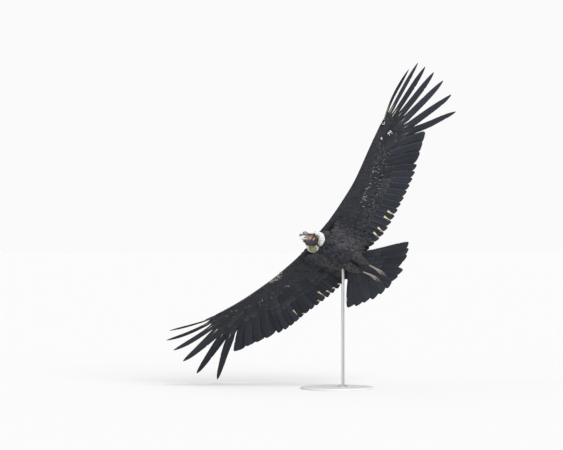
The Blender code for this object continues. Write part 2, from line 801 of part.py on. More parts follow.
def ring_fold(name, place, side):
    """Lids: a soft ring round the eye."""
    bm = bmesh.new()
    steps = 10
    sides = 4
    ring_radius = EYE_RADIUS
    tube_radius = 0.0021
    rings = []
    for i in range(steps):
        a = 2 * math.pi * i / steps
        ring = []
        for j in range(sides):
            b = 2 * math.pi * j / sides
            r = ring_radius + tube_radius * math.cos(b)
            point = place + Vector((r * math.cos(a), 0.0042 * side + tube_radius * math.sin(b) * side,
                                     r * 0.86 * math.sin(a)))
            ring.append(bm.verts.new(point))
        rings.append(ring)
    for i in range(steps):
        for j in range(sides):
            p, q = rings[i], rings[(i + 1) % steps]
            bm.faces.new((p[j], p[(j + 1) % sides], q[(j + 1) % sides], q[j]))
    bmesh.ops.recalc_face_normals(bm, faces=bm.faces)
    mesh = bpy.data.meshes.new(name)
    bm.to_mesh(mesh)
    bm.free()
    obj = bpy.data.objects.new(name, mesh)
    bpy.context.scene.collection.objects.link(obj)
    return obj


def cut_head_openings(head):
    """Ear openings, nostrils and the line of the mouth."""
    for s in (1, -1):
        ear = ball("ear", Vector((-0.024, 0.0300 * s, 0.002)), (0.0048, 0.0045, 0.0062), 8, 5)
        nostril = ball("nostril", Vector((0.045, 0.0165 * s, 0.0065)), (0.0052, 0.0040, 0.0026), 8, 5)
        rings = []
        for x in (0.016, 0.034, 0.066):
            w = station_value(SKULL, x, 1)
            z = -0.0065 - 0.05 * (0.040 - min(x, 0.040))
            inner = (w - 0.0030) * s
            outer = (w + 0.0050) * s
            rings.append([Vector((x, inner, z - 0.0006)), Vector((x, inner, z + 0.0006)),
                          Vector((x, outer, z + 0.0008)), Vector((x, outer, z - 0.0008))])
        mouth = loft("mouth", rings)
        for cutter in (ear, nostril, mouth):
            cut(head, cutter)


def make_leg(name, side):
    """Feathered thigh that lies back along the belly."""
    rings = []
    path = [Vector((-0.020, 0.050, -0.095)), Vector((-0.10, 0.047, -0.118)), Vector((-0.18, 0.043, -0.124)),
            Vector((-0.250, 0.038, -0.113)), Vector((-0.285, 0.036, -0.104))]
    radii = [0.026, 0.035, 0.033, 0.021, 0.012]
    for p, r in zip(path, radii):
        centre = Vector((p.x, p.y * side + LEG_SHIFT, p.z))
        rings.append(oval_ring(centre, Vector((0, 1, 0)), UP, r, r * 0.8, -r * 0.8, 12))
    return loft(name, rings)


def tube(points, radii, name, sides=8):
    """A round limb through points."""
    rings = []
    last = len(points) - 1
    for i, (p, r) in enumerate(zip(points, radii)):
        along = (points[min(i + 1, last)] - points[max(i - 1, 0)]).normalized()
        across = UP.cross(along).normalized()
        rings.append(oval_ring(p, across, along.cross(across), r, r, -r, sides))
    return loft(name, rings)


def make_foot(name, side):
    """Shank and three long front toes with their claws, trailed under the tail."""
    ankle = Vector((ANKLE.x, ANKLE.y * side + LEG_SHIFT, ANKLE.z))
    ball_of_foot = Vector((TOE_ROOT.x, TOE_ROOT.y * side + LEG_SHIFT, TOE_ROOT.z))
    shank = tube([ankle, ankle.lerp(ball_of_foot, 0.12), ankle.lerp(ball_of_foot, 0.5),
                  ankle.lerp(ball_of_foot, 0.88), ball_of_foot + Vector((-0.006, 0, 0))],
                 [0.009, 0.0105, 0.0085, 0.0105, 0.009], name, 8)
    pieces = []
    for k, (sweep, long) in enumerate(((-13, 0.070), (0, 0.100), (13, 0.066))):
        a = math.radians(sweep)
        heading = Vector((-math.cos(a), math.sin(a), 0))
        points = []
        radii = []
        for j in range(5):
            t = j / 4
            points.append(ball_of_foot + Vector((0.004, math.sin(a) * 0.012, 0)) + heading * long * t
                          + Vector((0, 0, -0.014 * t * t)))
            radii.append(0.0072 - 0.0018 * t + (0.0008 if j % 2 else 0))
        pieces.append(tube(points, radii, f"toe_{k}", 6))
        claw = [points[-1] + heading * 0.022 * t + Vector((0, 0, -0.010 * t * t))
                for t in (-0.3, 0.3, 0.7, 1.0)]
        pieces.append(tube(claw, [0.0042, 0.0038, 0.0026, 0.0007], f"claw_{k}", 5))
    fuse(shank, pieces)
    return shank


def rod_and_base():
    """Round base, collar and one upright rod."""
    bpy.ops.mesh.primitive_cylinder_add(vertices=40, radius=BASE_RADIUS, depth=BASE_THICK,
                                        location=(0, 0, BASE_THICK / 2))
    base = bpy.context.object
    base.name = "stand_base"
    edge = base.modifiers.new("rounded edge", "BEVEL")
    edge.width = 0.003
    edge.segments = 1
    collar_top = BASE_THICK + GAP + COLLAR_HEIGHT
    bpy.ops.mesh.primitive_cylinder_add(
        vertices=32, radius=COLLAR_RADIUS, depth=COLLAR_HEIGHT,
        location=ROD_PLACE + Vector((0, 0, collar_top - COLLAR_HEIGHT / 2)))
    collar = bpy.context.object
    collar.name = "stand_collar"
    foot = collar_top + GAP
    top = BODY_FROM_ROD.z - 0.05
    bpy.ops.mesh.primitive_cylinder_add(vertices=24, radius=ROD_RADIUS, depth=top - foot,
                                        location=ROD_PLACE + Vector((0, 0, (top + foot) / 2)))
    rod = bpy.context.object
    rod.name = "stand_rod"
    return base, collar, rod


def main():
    for obj in list(bpy.data.objects):
        bpy.data.objects.remove(obj)

    flight = bpy.data.objects.new("flight_attitude", None)
    bpy.context.scene.collection.objects.link(flight)
    flight.location = ROD_PLACE + BODY_FROM_ROD
    flight.rotation_euler = (math.radians(BANK), -math.radians(CLIMB), math.radians(HEADING))

    skin = material("bare_skin", (0.16, 0.12, 0.12), 0.6)
    dark = material("dark_feathers", (0.032, 0.034, 0.040), 0.6)
    belly = material("belly_feathers", (0.07, 0.065, 0.065), 0.7)
    white = material("ruff_down", (0.85, 0.84, 0.80), 0.8)
    horn = material("ivory_horn", (0.78, 0.74, 0.66), 0.4)
    flesh = material("comb_flesh", (0.20, 0.19, 0.20), 0.6)
    eye = material("eye", (0.10, 0.05, 0.03), 0.1)
    scale = material("foot_scales", (0.42, 0.40, 0.37), 0.5)
    paint = material("stand_paint", (0.70, 0.70, 0.69), 0.5)
    steel = material("stand_steel", (0.60, 0.60, 0.60), 0.35, 1.0)

    torso = make_torso()
    torso.data.materials.append(belly)
    bird = [torso]

    for name in ("left", "right"):
        wing = make_wing(name)
        clear_of(wing, torso)
        wing.data.materials.append(dark)
        bird.append(wing)

    tail = make_tail()
    clear_of(tail, torso)
    tail.data.materials.append(dark)
    bird.append(tail)

    neck = make_neck()
    clear_of(neck, torso)
    neck.data.materials.append(skin)
    bird.append(neck)

    ruff = make_ruff()
    clear_of(ruff, torso, neck)
    ruff.data.materials.append(white)
    bird.append(ruff)

    pose = head_matrix()
    head = make_skull()
    upper = make_bill("bill_upper", True)
    lower = make_bill("bill_lower", False)
    comb = make_comb()
    eyes = []
    for name, s in (("eye_left", 1), ("eye_right", -1)):
        place = Vector((EYE_PLACE.x, EYE_PLACE.y * s, EYE_PLACE.z))
        eyes.append(ball(name, place, (EYE_RADIUS,) * 3, 10, 7))
    clear_of(comb, head, upper)
    clear_of(lower, head, upper)
    clear_of(upper, head)
    add_head_folds(head)
    cut_head_openings(head)
    for piece in (head, upper, lower, comb, *eyes):
        piece.matrix_world = pose
    bpy.context.view_layer.update()
    clear_of(head, neck, *eyes)
    clear_of(head, comb)
    clear_of(ruff, head)
    for piece, finish in ((head, skin), (upper, horn), (lower, horn), (comb, flesh), (eyes[0], eye),
                          (eyes[1], eye)):
        piece.data.materials.clear()
        piece.data.materials.append(finish)
        bird.append(piece)

    legs = []
    for name, s in (("left", 1), ("right", -1)):
        thigh = make_leg("leg_" + name, s)
        clear_of(thigh, torso, tail, *legs)
        foot = make_foot("foot_" + name, s)
        clear_of(foot, thigh, tail)
        thigh.data.materials.append(belly)
        foot.data.materials.append(scale)
        bird += [thigh, foot]
        legs.append(thigh)

    for piece in bird:
        world = piece.matrix_world.copy()
        piece.parent = flight
        piece.matrix_basis = world
    bpy.context.view_layer.update()

    base, collar, rod = rod_and_base()
    clear_of(rod, torso)
    base.data.materials.append(paint)
    collar.data.materials.append(steel)
    rod.data.materials.append(steel)

    group = bpy.data.collections.new("andean_condor")
    bpy.context.scene.collection.children.link(group)
    for piece in [*bird, base, collar, rod]:
        for old in list(piece.users_collection):
            old.objects.unlink(piece)
        group.objects.link(piece)
        if not piece.name.startswith("stand_"):
            piece.data.shade_smooth()


main()
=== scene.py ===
"""Looks of the Andean condor: skin, feathers, down, comb, bill, eyes, feet, stand finishes and stage.

Metres, +Z up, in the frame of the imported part. The bird is shaped level in its own frame (+X towards
the bill, +Y towards its left wing tip, +Z towards its back) and every finished mesh is then turned to
the flight attitude, so that each object sits at the origin.
"""

import math
import random

import bmesh
import bpy
from mathutils import Euler, Matrix, Vector


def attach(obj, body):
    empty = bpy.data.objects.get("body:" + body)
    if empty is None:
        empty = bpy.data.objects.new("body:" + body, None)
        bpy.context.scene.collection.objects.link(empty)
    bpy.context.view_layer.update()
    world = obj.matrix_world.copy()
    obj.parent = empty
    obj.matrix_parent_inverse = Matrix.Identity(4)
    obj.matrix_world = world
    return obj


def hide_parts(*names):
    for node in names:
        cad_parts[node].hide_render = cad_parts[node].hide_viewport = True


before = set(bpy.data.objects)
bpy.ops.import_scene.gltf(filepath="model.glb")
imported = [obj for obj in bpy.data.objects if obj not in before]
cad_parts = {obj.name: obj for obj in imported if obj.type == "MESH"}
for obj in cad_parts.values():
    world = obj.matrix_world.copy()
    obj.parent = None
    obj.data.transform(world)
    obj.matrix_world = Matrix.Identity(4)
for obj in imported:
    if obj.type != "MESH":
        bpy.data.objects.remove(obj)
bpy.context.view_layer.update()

UP = Vector((0, 0, 1))
ACROSS = Vector((0, 1, 0))

# Flight attitude and place of the whole bird, as in the solids
HEADING = -136.1
CLIMB = 22.3
BANK = 52.1
BIRD_PLACE = Vector((-0.030, -0.056, 1.055))
FLIGHT = Matrix.Translation(BIRD_PLACE) @ Euler(
    (math.radians(BANK), -math.radians(CLIMB), math.radians(HEADING))).to_matrix().to_4x4()

# Torso stations: distance forward, half width, height of the back, depth of the belly
TORSO = [
    (0.208, 0.036, 0.020, -0.062),
    (0.180, 0.062, 0.044, -0.090),
    (0.130, 0.098, 0.066, -0.120),
    (0.050, 0.130, 0.082, -0.144),
    (-0.040, 0.130, 0.084, -0.144),
    (-0.120, 0.112, 0.074, -0.124),
    (-0.190, 0.088, 0.058, -0.096),
    (-0.250, 0.066, 0.040, -0.070),
    (-0.300, 0.046, 0.024, -0.050),
    (-0.330, 0.026, 0.010, -0.034),
]
BODY_COAT = 0.008

# Wings: span position against the forward place of the leading and trailing edges
WINGS = {
    "left": {
        "side": 1,
        "lead": [(0.06, 0.166), (0.16, 0.172), (0.32, 0.189), (0.50, 0.215), (0.78, 0.290), (1.03, 0.346)],
        "trail": [(0.06, -0.297), (0.14, -0.308), (0.28, -0.323), (0.50, -0.284), (0.76, -0.216),
                  (0.90, -0.150), (1.10, -0.062)],
        "finger_base": [(0.321, 0.995), (0.314, 1.056), (0.270, 1.043), (0.219, 1.069), (0.161, 1.064),
                        (0.098, 1.042), (0.013, 1.066)],
        "finger_tip": [(0.308, 1.368), (0.273, 1.444), (0.202, 1.452), (0.115, 1.456), (0.015, 1.447),
                       (-0.101, 1.403), (-0.220, 1.321)],
        "finger_width": [0.028, 0.036, 0.047, 0.054, 0.056, 0.057, 0.052],
        "finger_waist": [0.70, 0.94, 1.0, 1.1, 1.2, 1.25, 1.25],
    },
    "right": {
        "side": -1,
        "lead": [(0.06, 0.150), (0.16, 0.155), (0.34, 0.173), (0.50, 0.196), (0.78, 0.261), (1.03, 0.349)],
        "trail": [(0.06, -0.316), (0.16, -0.343), (0.33, -0.339), (0.58, -0.299), (0.78, -0.278),
                  (0.94, -0.205), (1.14, -0.112)],
        "finger_base": [(0.344, 1.038), (0.302, 1.050), (0.250, 1.062), (0.185, 1.066), (0.108, 1.092),
                        (0.043, 1.080), (-0.040, 1.040)],
        "finger_tip": [(0.419, 1.312), (0.372, 1.401), (0.244, 1.454), (0.097, 1.503), (-0.071, 1.536),
                       (-0.241, 1.491), (-0.130, 1.161)],
        "finger_width": [0.022, 0.033, 0.048, 0.061, 0.058, 0.049, 0.100],
        "finger_waist": [0.75, 0.98, 1.08, 1.55, 1.45, 1.50, 1.45],
    },
}
FINGER_LIFT = [0.100, 0.090, 0.075, 0.060, 0.045, 0.030, 0.020]
FIRST_ROOT_SPAN = 0.13
WRIST_SPAN = 0.60
HAND_END_SPAN = 0.93
SECONDARIES = 15
INNER_PRIMARIES = 3
FINGERS = len(FINGER_LIFT)
LAST_PRIMARY = INNER_PRIMARIES + FINGERS - 1
SHORT_FINGER = 0.72
WING_CAMBER = 0.020
INNER_TIP_SPAN = 0.105
HAND_JOIN_SPAN = 0.83
SECONDARY_WIDTH = 0.068
PRIMARY_WIDTH = 0.115
PRIMARY_STEP = 0.075
FINGER_AHEAD = 0.35
VANE_TILT = math.radians(4.5)

# Tail fan
TAIL_FEATHERS = 12
TAIL_APEX = Vector((-0.09, 0.0, -0.020))
TAIL_SPREAD_RIGHT = 38.5
TAIL_SPREAD_LEFT = 36.2
TAIL_ROOT_HALF = 0.060
TAIL_MIDDLE = 0.588
TAIL_EDGE = 0.535
TAIL_WIDTH = 0.082
SHORT_TAIL_FEATHER = 8

# Legs and feet
LEG_SHIFT = 0.016
ANKLE = Vector((-0.262, 0.037, -0.107))
TOE_ROOT = Vector((-0.385, 0.031, -0.092))
THIGH = [
    (Vector((-0.020, 0.050, -0.095)), 0.026),
    (Vector((-0.100, 0.047, -0.118)), 0.035),
    (Vector((-0.180, 0.043, -0.124)), 0.033),
    (Vector((-0.250, 0.038, -0.113)), 0.021),
    (Vector((-0.285, 0.036, -0.104)), 0.012),
]

# Neck line from inside the breast to inside the head, with its radius
NECK = [
    (Vector((0.120, 0.000, -0.030)), 0.050),
    (Vector((0.166, -0.008, -0.040)), 0.045),
    (Vector((0.203, -0.013, -0.051)), 0.038),
    (Vector((0.240, -0.011, -0.063)), 0.032),
    (Vector((0.278, -0.005, -0.075)), 0.028),
]
RUFF_AT = 0.60
RUFF_FORWARD = 0.007
RUFF_MAJOR = 0.045
RUFF_MINOR = 0.020
RUFF_OPEN = 34.0

# Head pose: middle of the skull between the eyes, and its turn, degrees
HEAD_PLACE = Vector((0.305, -0.001, -0.082))
HEAD_TURN = -18.0
HEAD_NOD = 15.0
HEAD_ROLL = -28.0
HEAD = Matrix.Translation(HEAD_PLACE) @ Matrix.Rotation(math.radians(HEAD_TURN), 4, "Z") @ Matrix.Rotation(
    math.radians(HEAD_NOD), 4, "Y") @ Matrix.Rotation(math.radians(HEAD_ROLL), 4, "X")

# Skull stations: distance forward, half width, top, bottom
SKULL = [
    (-0.066, 0.010, 0.004, -0.018),
    (-0.058, 0.021, 0.018, -0.030),
    (-0.040, 0.028, 0.027, -0.035),
    (-0.012, 0.0285, 0.030, -0.033),
    (0.012, 0.0245, 0.027, -0.029),
    (0.030, 0.0190, 0.022, -0.024),
    (0.046, 0.0160, 0.018, -0.021),
    (0.058, 0.0140, 0.015, -0.0185),
]
EYE_PLACE = Vector((0.008, 0.0215, 0.008))
EYE_RADIUS = 0.0088
COMB_FRONT = 0.088
COMB_BACK = -0.012
COMB_FOOT = 0.015
COMB_HALF_WIDTH = 0.0068

BAKE_PATCH = 0.003


def smooth_value(points, x):
    """Value at x of the smooth curve through (x, value) points in rising x order."""
    if x <= points[0][0]:
        return points[0][1]
    if x >= points[-1][0]:
        return points[-1][1]
    last = len(points) - 1
    for i in range(last):
        x0, y0 = points[i]
        x1, y1 = points[i + 1]
        if x <= x1:
            before = points[max(i - 1, 0)]
            after = points[min(i + 2, last)]
            h = x1 - x0
            t = (x - x0) / h
            slope0 = (y1 - before[1]) / (x1 - before[0])
            slope1 = (after[1] - y0) / (after[0] - x0)
            return (y0 * (1 + 2 * t) * (1 - t) ** 2 + y1 * t * t * (3 - 2 * t)
                    + slope0 * h * t * (1 - t) ** 2 - slope1 * h * t * t * (1 - t))


def smooth_share(x):
    """A soft step from 0 to 1."""
    x = min(max(x, 0.0), 1.0)
    return x * x * (3 - 2 * x)


def section(stations, x):
    """Half width, top and bottom of a station list at x, on smooth curves."""
    return [smooth_value(sorted((s[0], s[k]) for s in stations), x) for k in (1, 2, 3)]


def along_line(points, u):
    """Value or point at a share u of a list of values or points, on a smooth curve."""
    if isinstance(points[0], Vector):
        return Vector([along_line([p[k] for p in points], u) for k in range(3)])
    last = len(points) - 1
    return smooth_value([(i / last, value) for i, value in enumerate(points)], u)


def oval_ring(centre, across, upward, half_width, top, bottom, count, fullness=2.0):
    """Points round an egg-shaped section: top and bottom have their own heights."""
    ring = []
    for k in range(count):
        a = 2 * math.pi * k / count
        c = math.copysign(abs(math.cos(a)) ** (2 / fullness), math.cos(a))
        s = math.copysign(abs(math.sin(a)) ** (2 / fullness), math.sin(a))
        height = top if s > 0 else -bottom
        ring.append(centre + across * half_width * c + upward * height * s)
    return ring


def upright_ring(x, half, top, bottom, count, fullness):
    """An egg-shaped section square to the length, from its half width, top and bottom."""
    middle = (top + bottom) / 2
    centre = Vector((x, 0, middle))
    return oval_ring(centre, ACROSS, UP, half, top - middle, bottom - middle, count, fullness)


def linked(name, data):
    """A new object at the origin, in the scene."""
    obj = bpy.data.objects.new(name, data)
    bpy.context.scene.collection.objects.link(obj)
    return obj


def dressed(obj, mat):
    """Gives a piece one finish."""
    obj.data.materials.clear()
    obj.data.materials.append(mat)
    return obj


def new_piece(name, verts, faces, pose=FLIGHT):
    """A linked object at the origin with its points posed and its faces outward."""
    mesh = bpy.data.meshes.new(name)
    mesh.from_pydata([tuple(pose @ v) for v in verts], [], faces)
    bm = bmesh.new()
    bm.from_mesh(mesh)
    bmesh.ops.recalc_face_normals(bm, faces=bm.faces)
    bm.to_mesh(mesh)
    bm.free()
    mesh.shade_smooth()
    return linked(name, mesh)


def loft_shape(rings):
    """Vertices and faces of a closed skin over rings of equal count."""
    n = len(rings[0])
    verts = [v for ring in rings for v in ring]
    faces = []
    for a in range(0, len(verts) - n, n):
        faces += [(a + j, a + (j + 1) % n, a + n + (j + 1) % n, a + n + j) for j in range(n)]
    faces.append(tuple(range(n)))
    faces.append(tuple(range(len(verts) - n, len(verts))))
    return verts, faces


def shape_sum(shapes):
    """Several (verts, faces) shapes in one, still as separate closed skins."""
    verts = []
    faces = []
    for part_verts, part_faces in shapes:
        faces += [tuple(k + len(verts) for k in face) for face in part_faces]
        verts += part_verts
    return verts, faces


def on_head(shapes):
    """Shapes made in the head's frame, moved to the bird's."""
    return [([HEAD @ v for v in verts], faces) for verts, faces in shapes]


def ball_shape(place, radii, segments=20, rings=14):
    """An ellipsoid."""
    sections = []
    for i in range(rings + 1):
        b = math.pi * (i + 0.15) / (rings + 0.3) - math.pi / 2
        ring = []
        for j in range(segments):
            a = 2 * math.pi * j / segments
            v = Vector((math.cos(b) * math.cos(a) * radii[0], math.cos(b) * math.sin(a) * radii[1],
                        math.sin(b) * radii[2]))
            ring.append(v + place)
        sections.append(ring)
    return loft_shape(sections)


def tube_shape(points, radii, sides):
    """A round limb through points."""
    rings = []
    last = len(points) - 1
    for i, (p, r) in enumerate(zip(points, radii)):
        along = (points[min(i + 1, last)] - points[max(i - 1, 0)]).normalized()
        across = UP.cross(along).normalized()
        rings.append(oval_ring(p, across, along.cross(across), r, r, -r, sides))
    return loft_shape(rings)


def finish_modifiers(obj):
    """Puts the modifiers' result into the object's mesh."""
    bpy.context.view_layer.update()
    shape = obj.evaluated_get(bpy.context.evaluated_depsgraph_get())
    mesh = bpy.data.meshes.new_from_object(shape)
    obj.modifiers.clear()
    old = obj.data
    obj.data = mesh
    bpy.data.meshes.remove(old)


def blended(name, shapes, voxel, rounds):
    """One continuous skin over several overlapping closed shapes."""
    obj = new_piece(name, *shape_sum(shapes))
    remesh = obj.modifiers.new("one skin", "REMESH")
    remesh.mode = "VOXEL"
    remesh.voxel_size = voxel
    remesh.use_smooth_shade = True
    relax = obj.modifiers.new("relax", "SMOOTH")
    relax.factor = 0.5
    relax.iterations = rounds
    finish_modifiers(obj)
    return obj


def joined(name, objs):
    """Several finished pieces as one object; each keeps its materials."""
    bpy.ops.object.select_all(action="DESELECT")
    for obj in objs:
        obj.select_set(True)
    bpy.context.view_layer.objects.active = objs[0]
    bpy.ops.object.join()
    objs[0].name = name
    objs[0].data.name = name
    return objs[0]


def handed_in(obj, replaces=()):
    """Parents a finished piece to the root body, so that it rides on the body, and hides the parts that it
    replaces.
    """
    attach(obj, "root")
    if replaces:
        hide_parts(*replaces)
    return obj


# Shader building


def new_material(name):
    """A material and its node tree."""
    mat = bpy.data.materials.new(name)
    mat.use_nodes = True
    return mat, mat.node_tree


SOCKETS = {"f": "NodeSocketFloat", "v": "NodeSocketVector", "i": "NodeSocketInt", "o": "NodeSocketObject",
           "m": "NodeSocketMaterial", "g": "NodeSocketGeometry"}


def node_group(name, kind, inputs, outputs):
    """An empty node group with named sockets; inputs are (label, kind) or (label, kind, value)."""
    tree = bpy.data.node_groups.new(name, kind)
    for label, socket_kind, *value in inputs:
        socket = tree.interface.new_socket(label, in_out="INPUT", socket_type=SOCKETS[socket_kind])
        if value:
            socket.default_value = value[0]
    for label, socket_kind in outputs:
        tree.interface.new_socket(label, in_out="OUTPUT", socket_type=SOCKETS[socket_kind])
    return tree, tree.nodes.new("NodeGroupInput").outputs, tree.nodes.new("NodeGroupOutput").inputs


def put(tree, kind, values=None, **settings):
    """A new node with its settings; its inputs get fixed values or links from sockets."""
    node = tree.nodes.new(kind)
    for key, value in settings.items():
        setattr(node, key, value)
    for key, value in (values or {}).items():
        if isinstance(value, bpy.types.NodeSocket):
            tree.links.new(value, node.inputs[key])
        else:
            node.inputs[key].default_value = value
    return node


def sums(tree, operation, *values, clamp=False):
    """A Math node on sockets or numbers; returns its output."""
    inputs = dict(enumerate(values))
    return put(tree, "ShaderNodeMath", inputs, operation=operation, use_clamp=clamp).outputs[0]


def times(tree, a, b, clamp=False):
    return sums(tree, "MULTIPLY", a, b, clamp=clamp)


def scaled(tree, value, factor, shift):
    """The value times the factor, plus the shift."""
    return sums(tree, "MULTIPLY_ADD", value, factor, shift)


def band(tree, value, low, high, out_low=0.0, out_high=1.0):
    """A smooth step of a value from low to high."""
    return put(tree, "ShaderNodeMapRange", {0: value, 1: low, 2: high, 3: out_low, 4: out_high},
               interpolation_type="SMOOTHSTEP").outputs[0]


def blend_colour(tree, share, first, second, mode="MIX"):
    """A colour mix whose inputs are sockets or values; returns its output."""
    inputs = {0: share, 6: first, 7: second}
    inputs = {key: (*value, 1.0) if isinstance(value, tuple) else value for key, value in inputs.items()}
    return put(tree, "ShaderNodeMix", inputs, data_type="RGBA", blend_type=mode).outputs[2]


def object_place(tree):
    return put(tree, "ShaderNodeTexCoord").outputs["Object"]


def noise(tree, scale, detail=4.0, roughness=0.55, vector=None):
    return put(tree, "ShaderNodeTexNoise", {"Scale": scale, "Detail": detail, "Roughness": roughness,
                                            "Vector": vector or object_place(tree)}).outputs["Fac"]


def stretched_noise(tree, scale, stretch):
    """Grain drawn out along one axis."""
    place = put(tree, "ShaderNodeMapping", {"Vector": object_place(tree), "Scale": stretch})
    return put(tree, "ShaderNodeTexNoise",
               {"Scale": scale, "Detail": 3.0, "Vector": place.outputs[0]}).outputs["Fac"]


def cells(tree, scale, vector, feature="F1"):
    """Distance within a pattern of cells, from the middles or the edges."""
    return put(tree, "ShaderNodeTexVoronoi", {"Scale": scale, "Vector": vector},
               feature=feature).outputs["Distance"]


def finished(mat, inputs, height=None, strength=0.0, depth=0.0005, invert=False):
    """Sets or links the shader's inputs, lets a height bump its surface, and returns the material."""
    tree = mat.node_tree
    shader = tree.nodes["Principled BSDF"]
    if height is not None:
        bump = put(tree, "ShaderNodeBump", {"Strength": strength, "Distance": depth, "Height": height},
                   invert=invert)
        tree.links.new(bump.outputs["Normal"], shader.inputs["Normal"])
    for key, value in inputs.items():
        if isinstance(value, bpy.types.NodeSocket):
            tree.links.new(value, shader.inputs[key])
        else:
            shader.inputs[key].default_value = value
    return mat


def patch_group():
    """Mask of a soft-edged patch round a place on the piece, with a ragged rim."""
    tree, ins, outs = node_group(
        "colour patch", "ShaderNodeTree",
        [("Object", "v", (0, 0, 0)), ("Centre", "v", (0, 0, 0)), ("Radius", "f", 0.01),
         ("Softness", "f", 0.004), ("Ragged", "f", 0.003)],
        [("Mask", "f")])
    apart = put(tree, "ShaderNodeVectorMath", {0: ins["Object"], 1: ins["Centre"]}, operation="DISTANCE")
    wander = noise(tree, 160.0, 3.0, 0.6, ins["Object"])
    shift = times(tree, sums(tree, "SUBTRACT", wander, 0.5), ins["Ragged"])
    inner = sums(tree, "ADD", apart.outputs["Value"], times(tree, shift, 2.0))
    past = sums(tree, "DIVIDE", sums(tree, "SUBTRACT", ins["Radius"], inner), ins["Softness"])
    tree.links.new(band(tree, past, -0.5, 0.5), outs["Mask"])
    return tree


WHOLE_TURN = 6.283


def barb_group():
    """Fine barbs that run out from a feather's shaft, the shaft itself and the fringe of the vane."""
    tree, ins, outs = node_group(
        "feather barbs", "ShaderNodeTree",
        [("Along", "f", 0.0), ("Side", "f", 0.0), ("Barbs", "f", 160.0), ("Slant", "f", 0.12),
         ("Object", "v", (0, 0, 0))],
        [("Height", "f"), ("Shaft", "f"), ("Fringe", "f"), ("Streak", "f")])
    from_shaft = sums(tree, "ABSOLUTE", ins["Side"])
    lean = scaled(tree, from_shaft, times(tree, ins["Slant"], -1.0), ins["Along"])
    phase = scaled(tree, noise(tree, 60.0, 2.0, 0.5, ins["Object"]), 0.02, lean)
    wave = sums(tree, "SINE", times(tree, phase, times(tree, ins["Barbs"], WHOLE_TURN)))
    coarse = sums(tree, "SINE", times(tree, phase, times(tree, ins["Barbs"], 0.9)))
    height = scaled(tree, wave, 0.35, times(tree, coarse, 0.5))
    shaft = band(tree, from_shaft, 0.05, 0.11, 1.0, 0.0)
    fringe = sums(tree, "MAXIMUM", band(tree, ins["Along"], 0.86, 1.0), band(tree, from_shaft, 0.72, 1.0))
    results = {"Height": scaled(tree, shaft, 2.0, height), "Shaft": shaft, "Fringe": fringe,
               "Streak": scaled(tree, coarse, 0.5, 0.5)}
    for label, value in results.items():
        tree.links.new(value, outs[label])
    return tree


PATCH = patch_group()
BARBS = barb_group()


def dab(tree, colour, place, radius, strength, paint, softness, ragged):
    """Lays a soft patch of paint on a colour, round a place."""
    mask = put(tree, "ShaderNodeGroup", {"Centre": place, "Radius": radius, "Softness": softness,
                                         "Ragged": ragged, "Object": object_place(tree)}, node_tree=PATCH)
    return blend_colour(tree, times(tree, mask.outputs["Mask"], strength), colour, paint)


def attribute_parts(tree, name):
    """The three numbers of a vector attribute."""
    read = put(tree, "ShaderNodeAttribute", attribute_name=name)
    return put(tree, "ShaderNodeSeparateXYZ", {0: read.outputs["Vector"]}).outputs


WHITE_PANEL = (0.74, 0.73, 0.69)


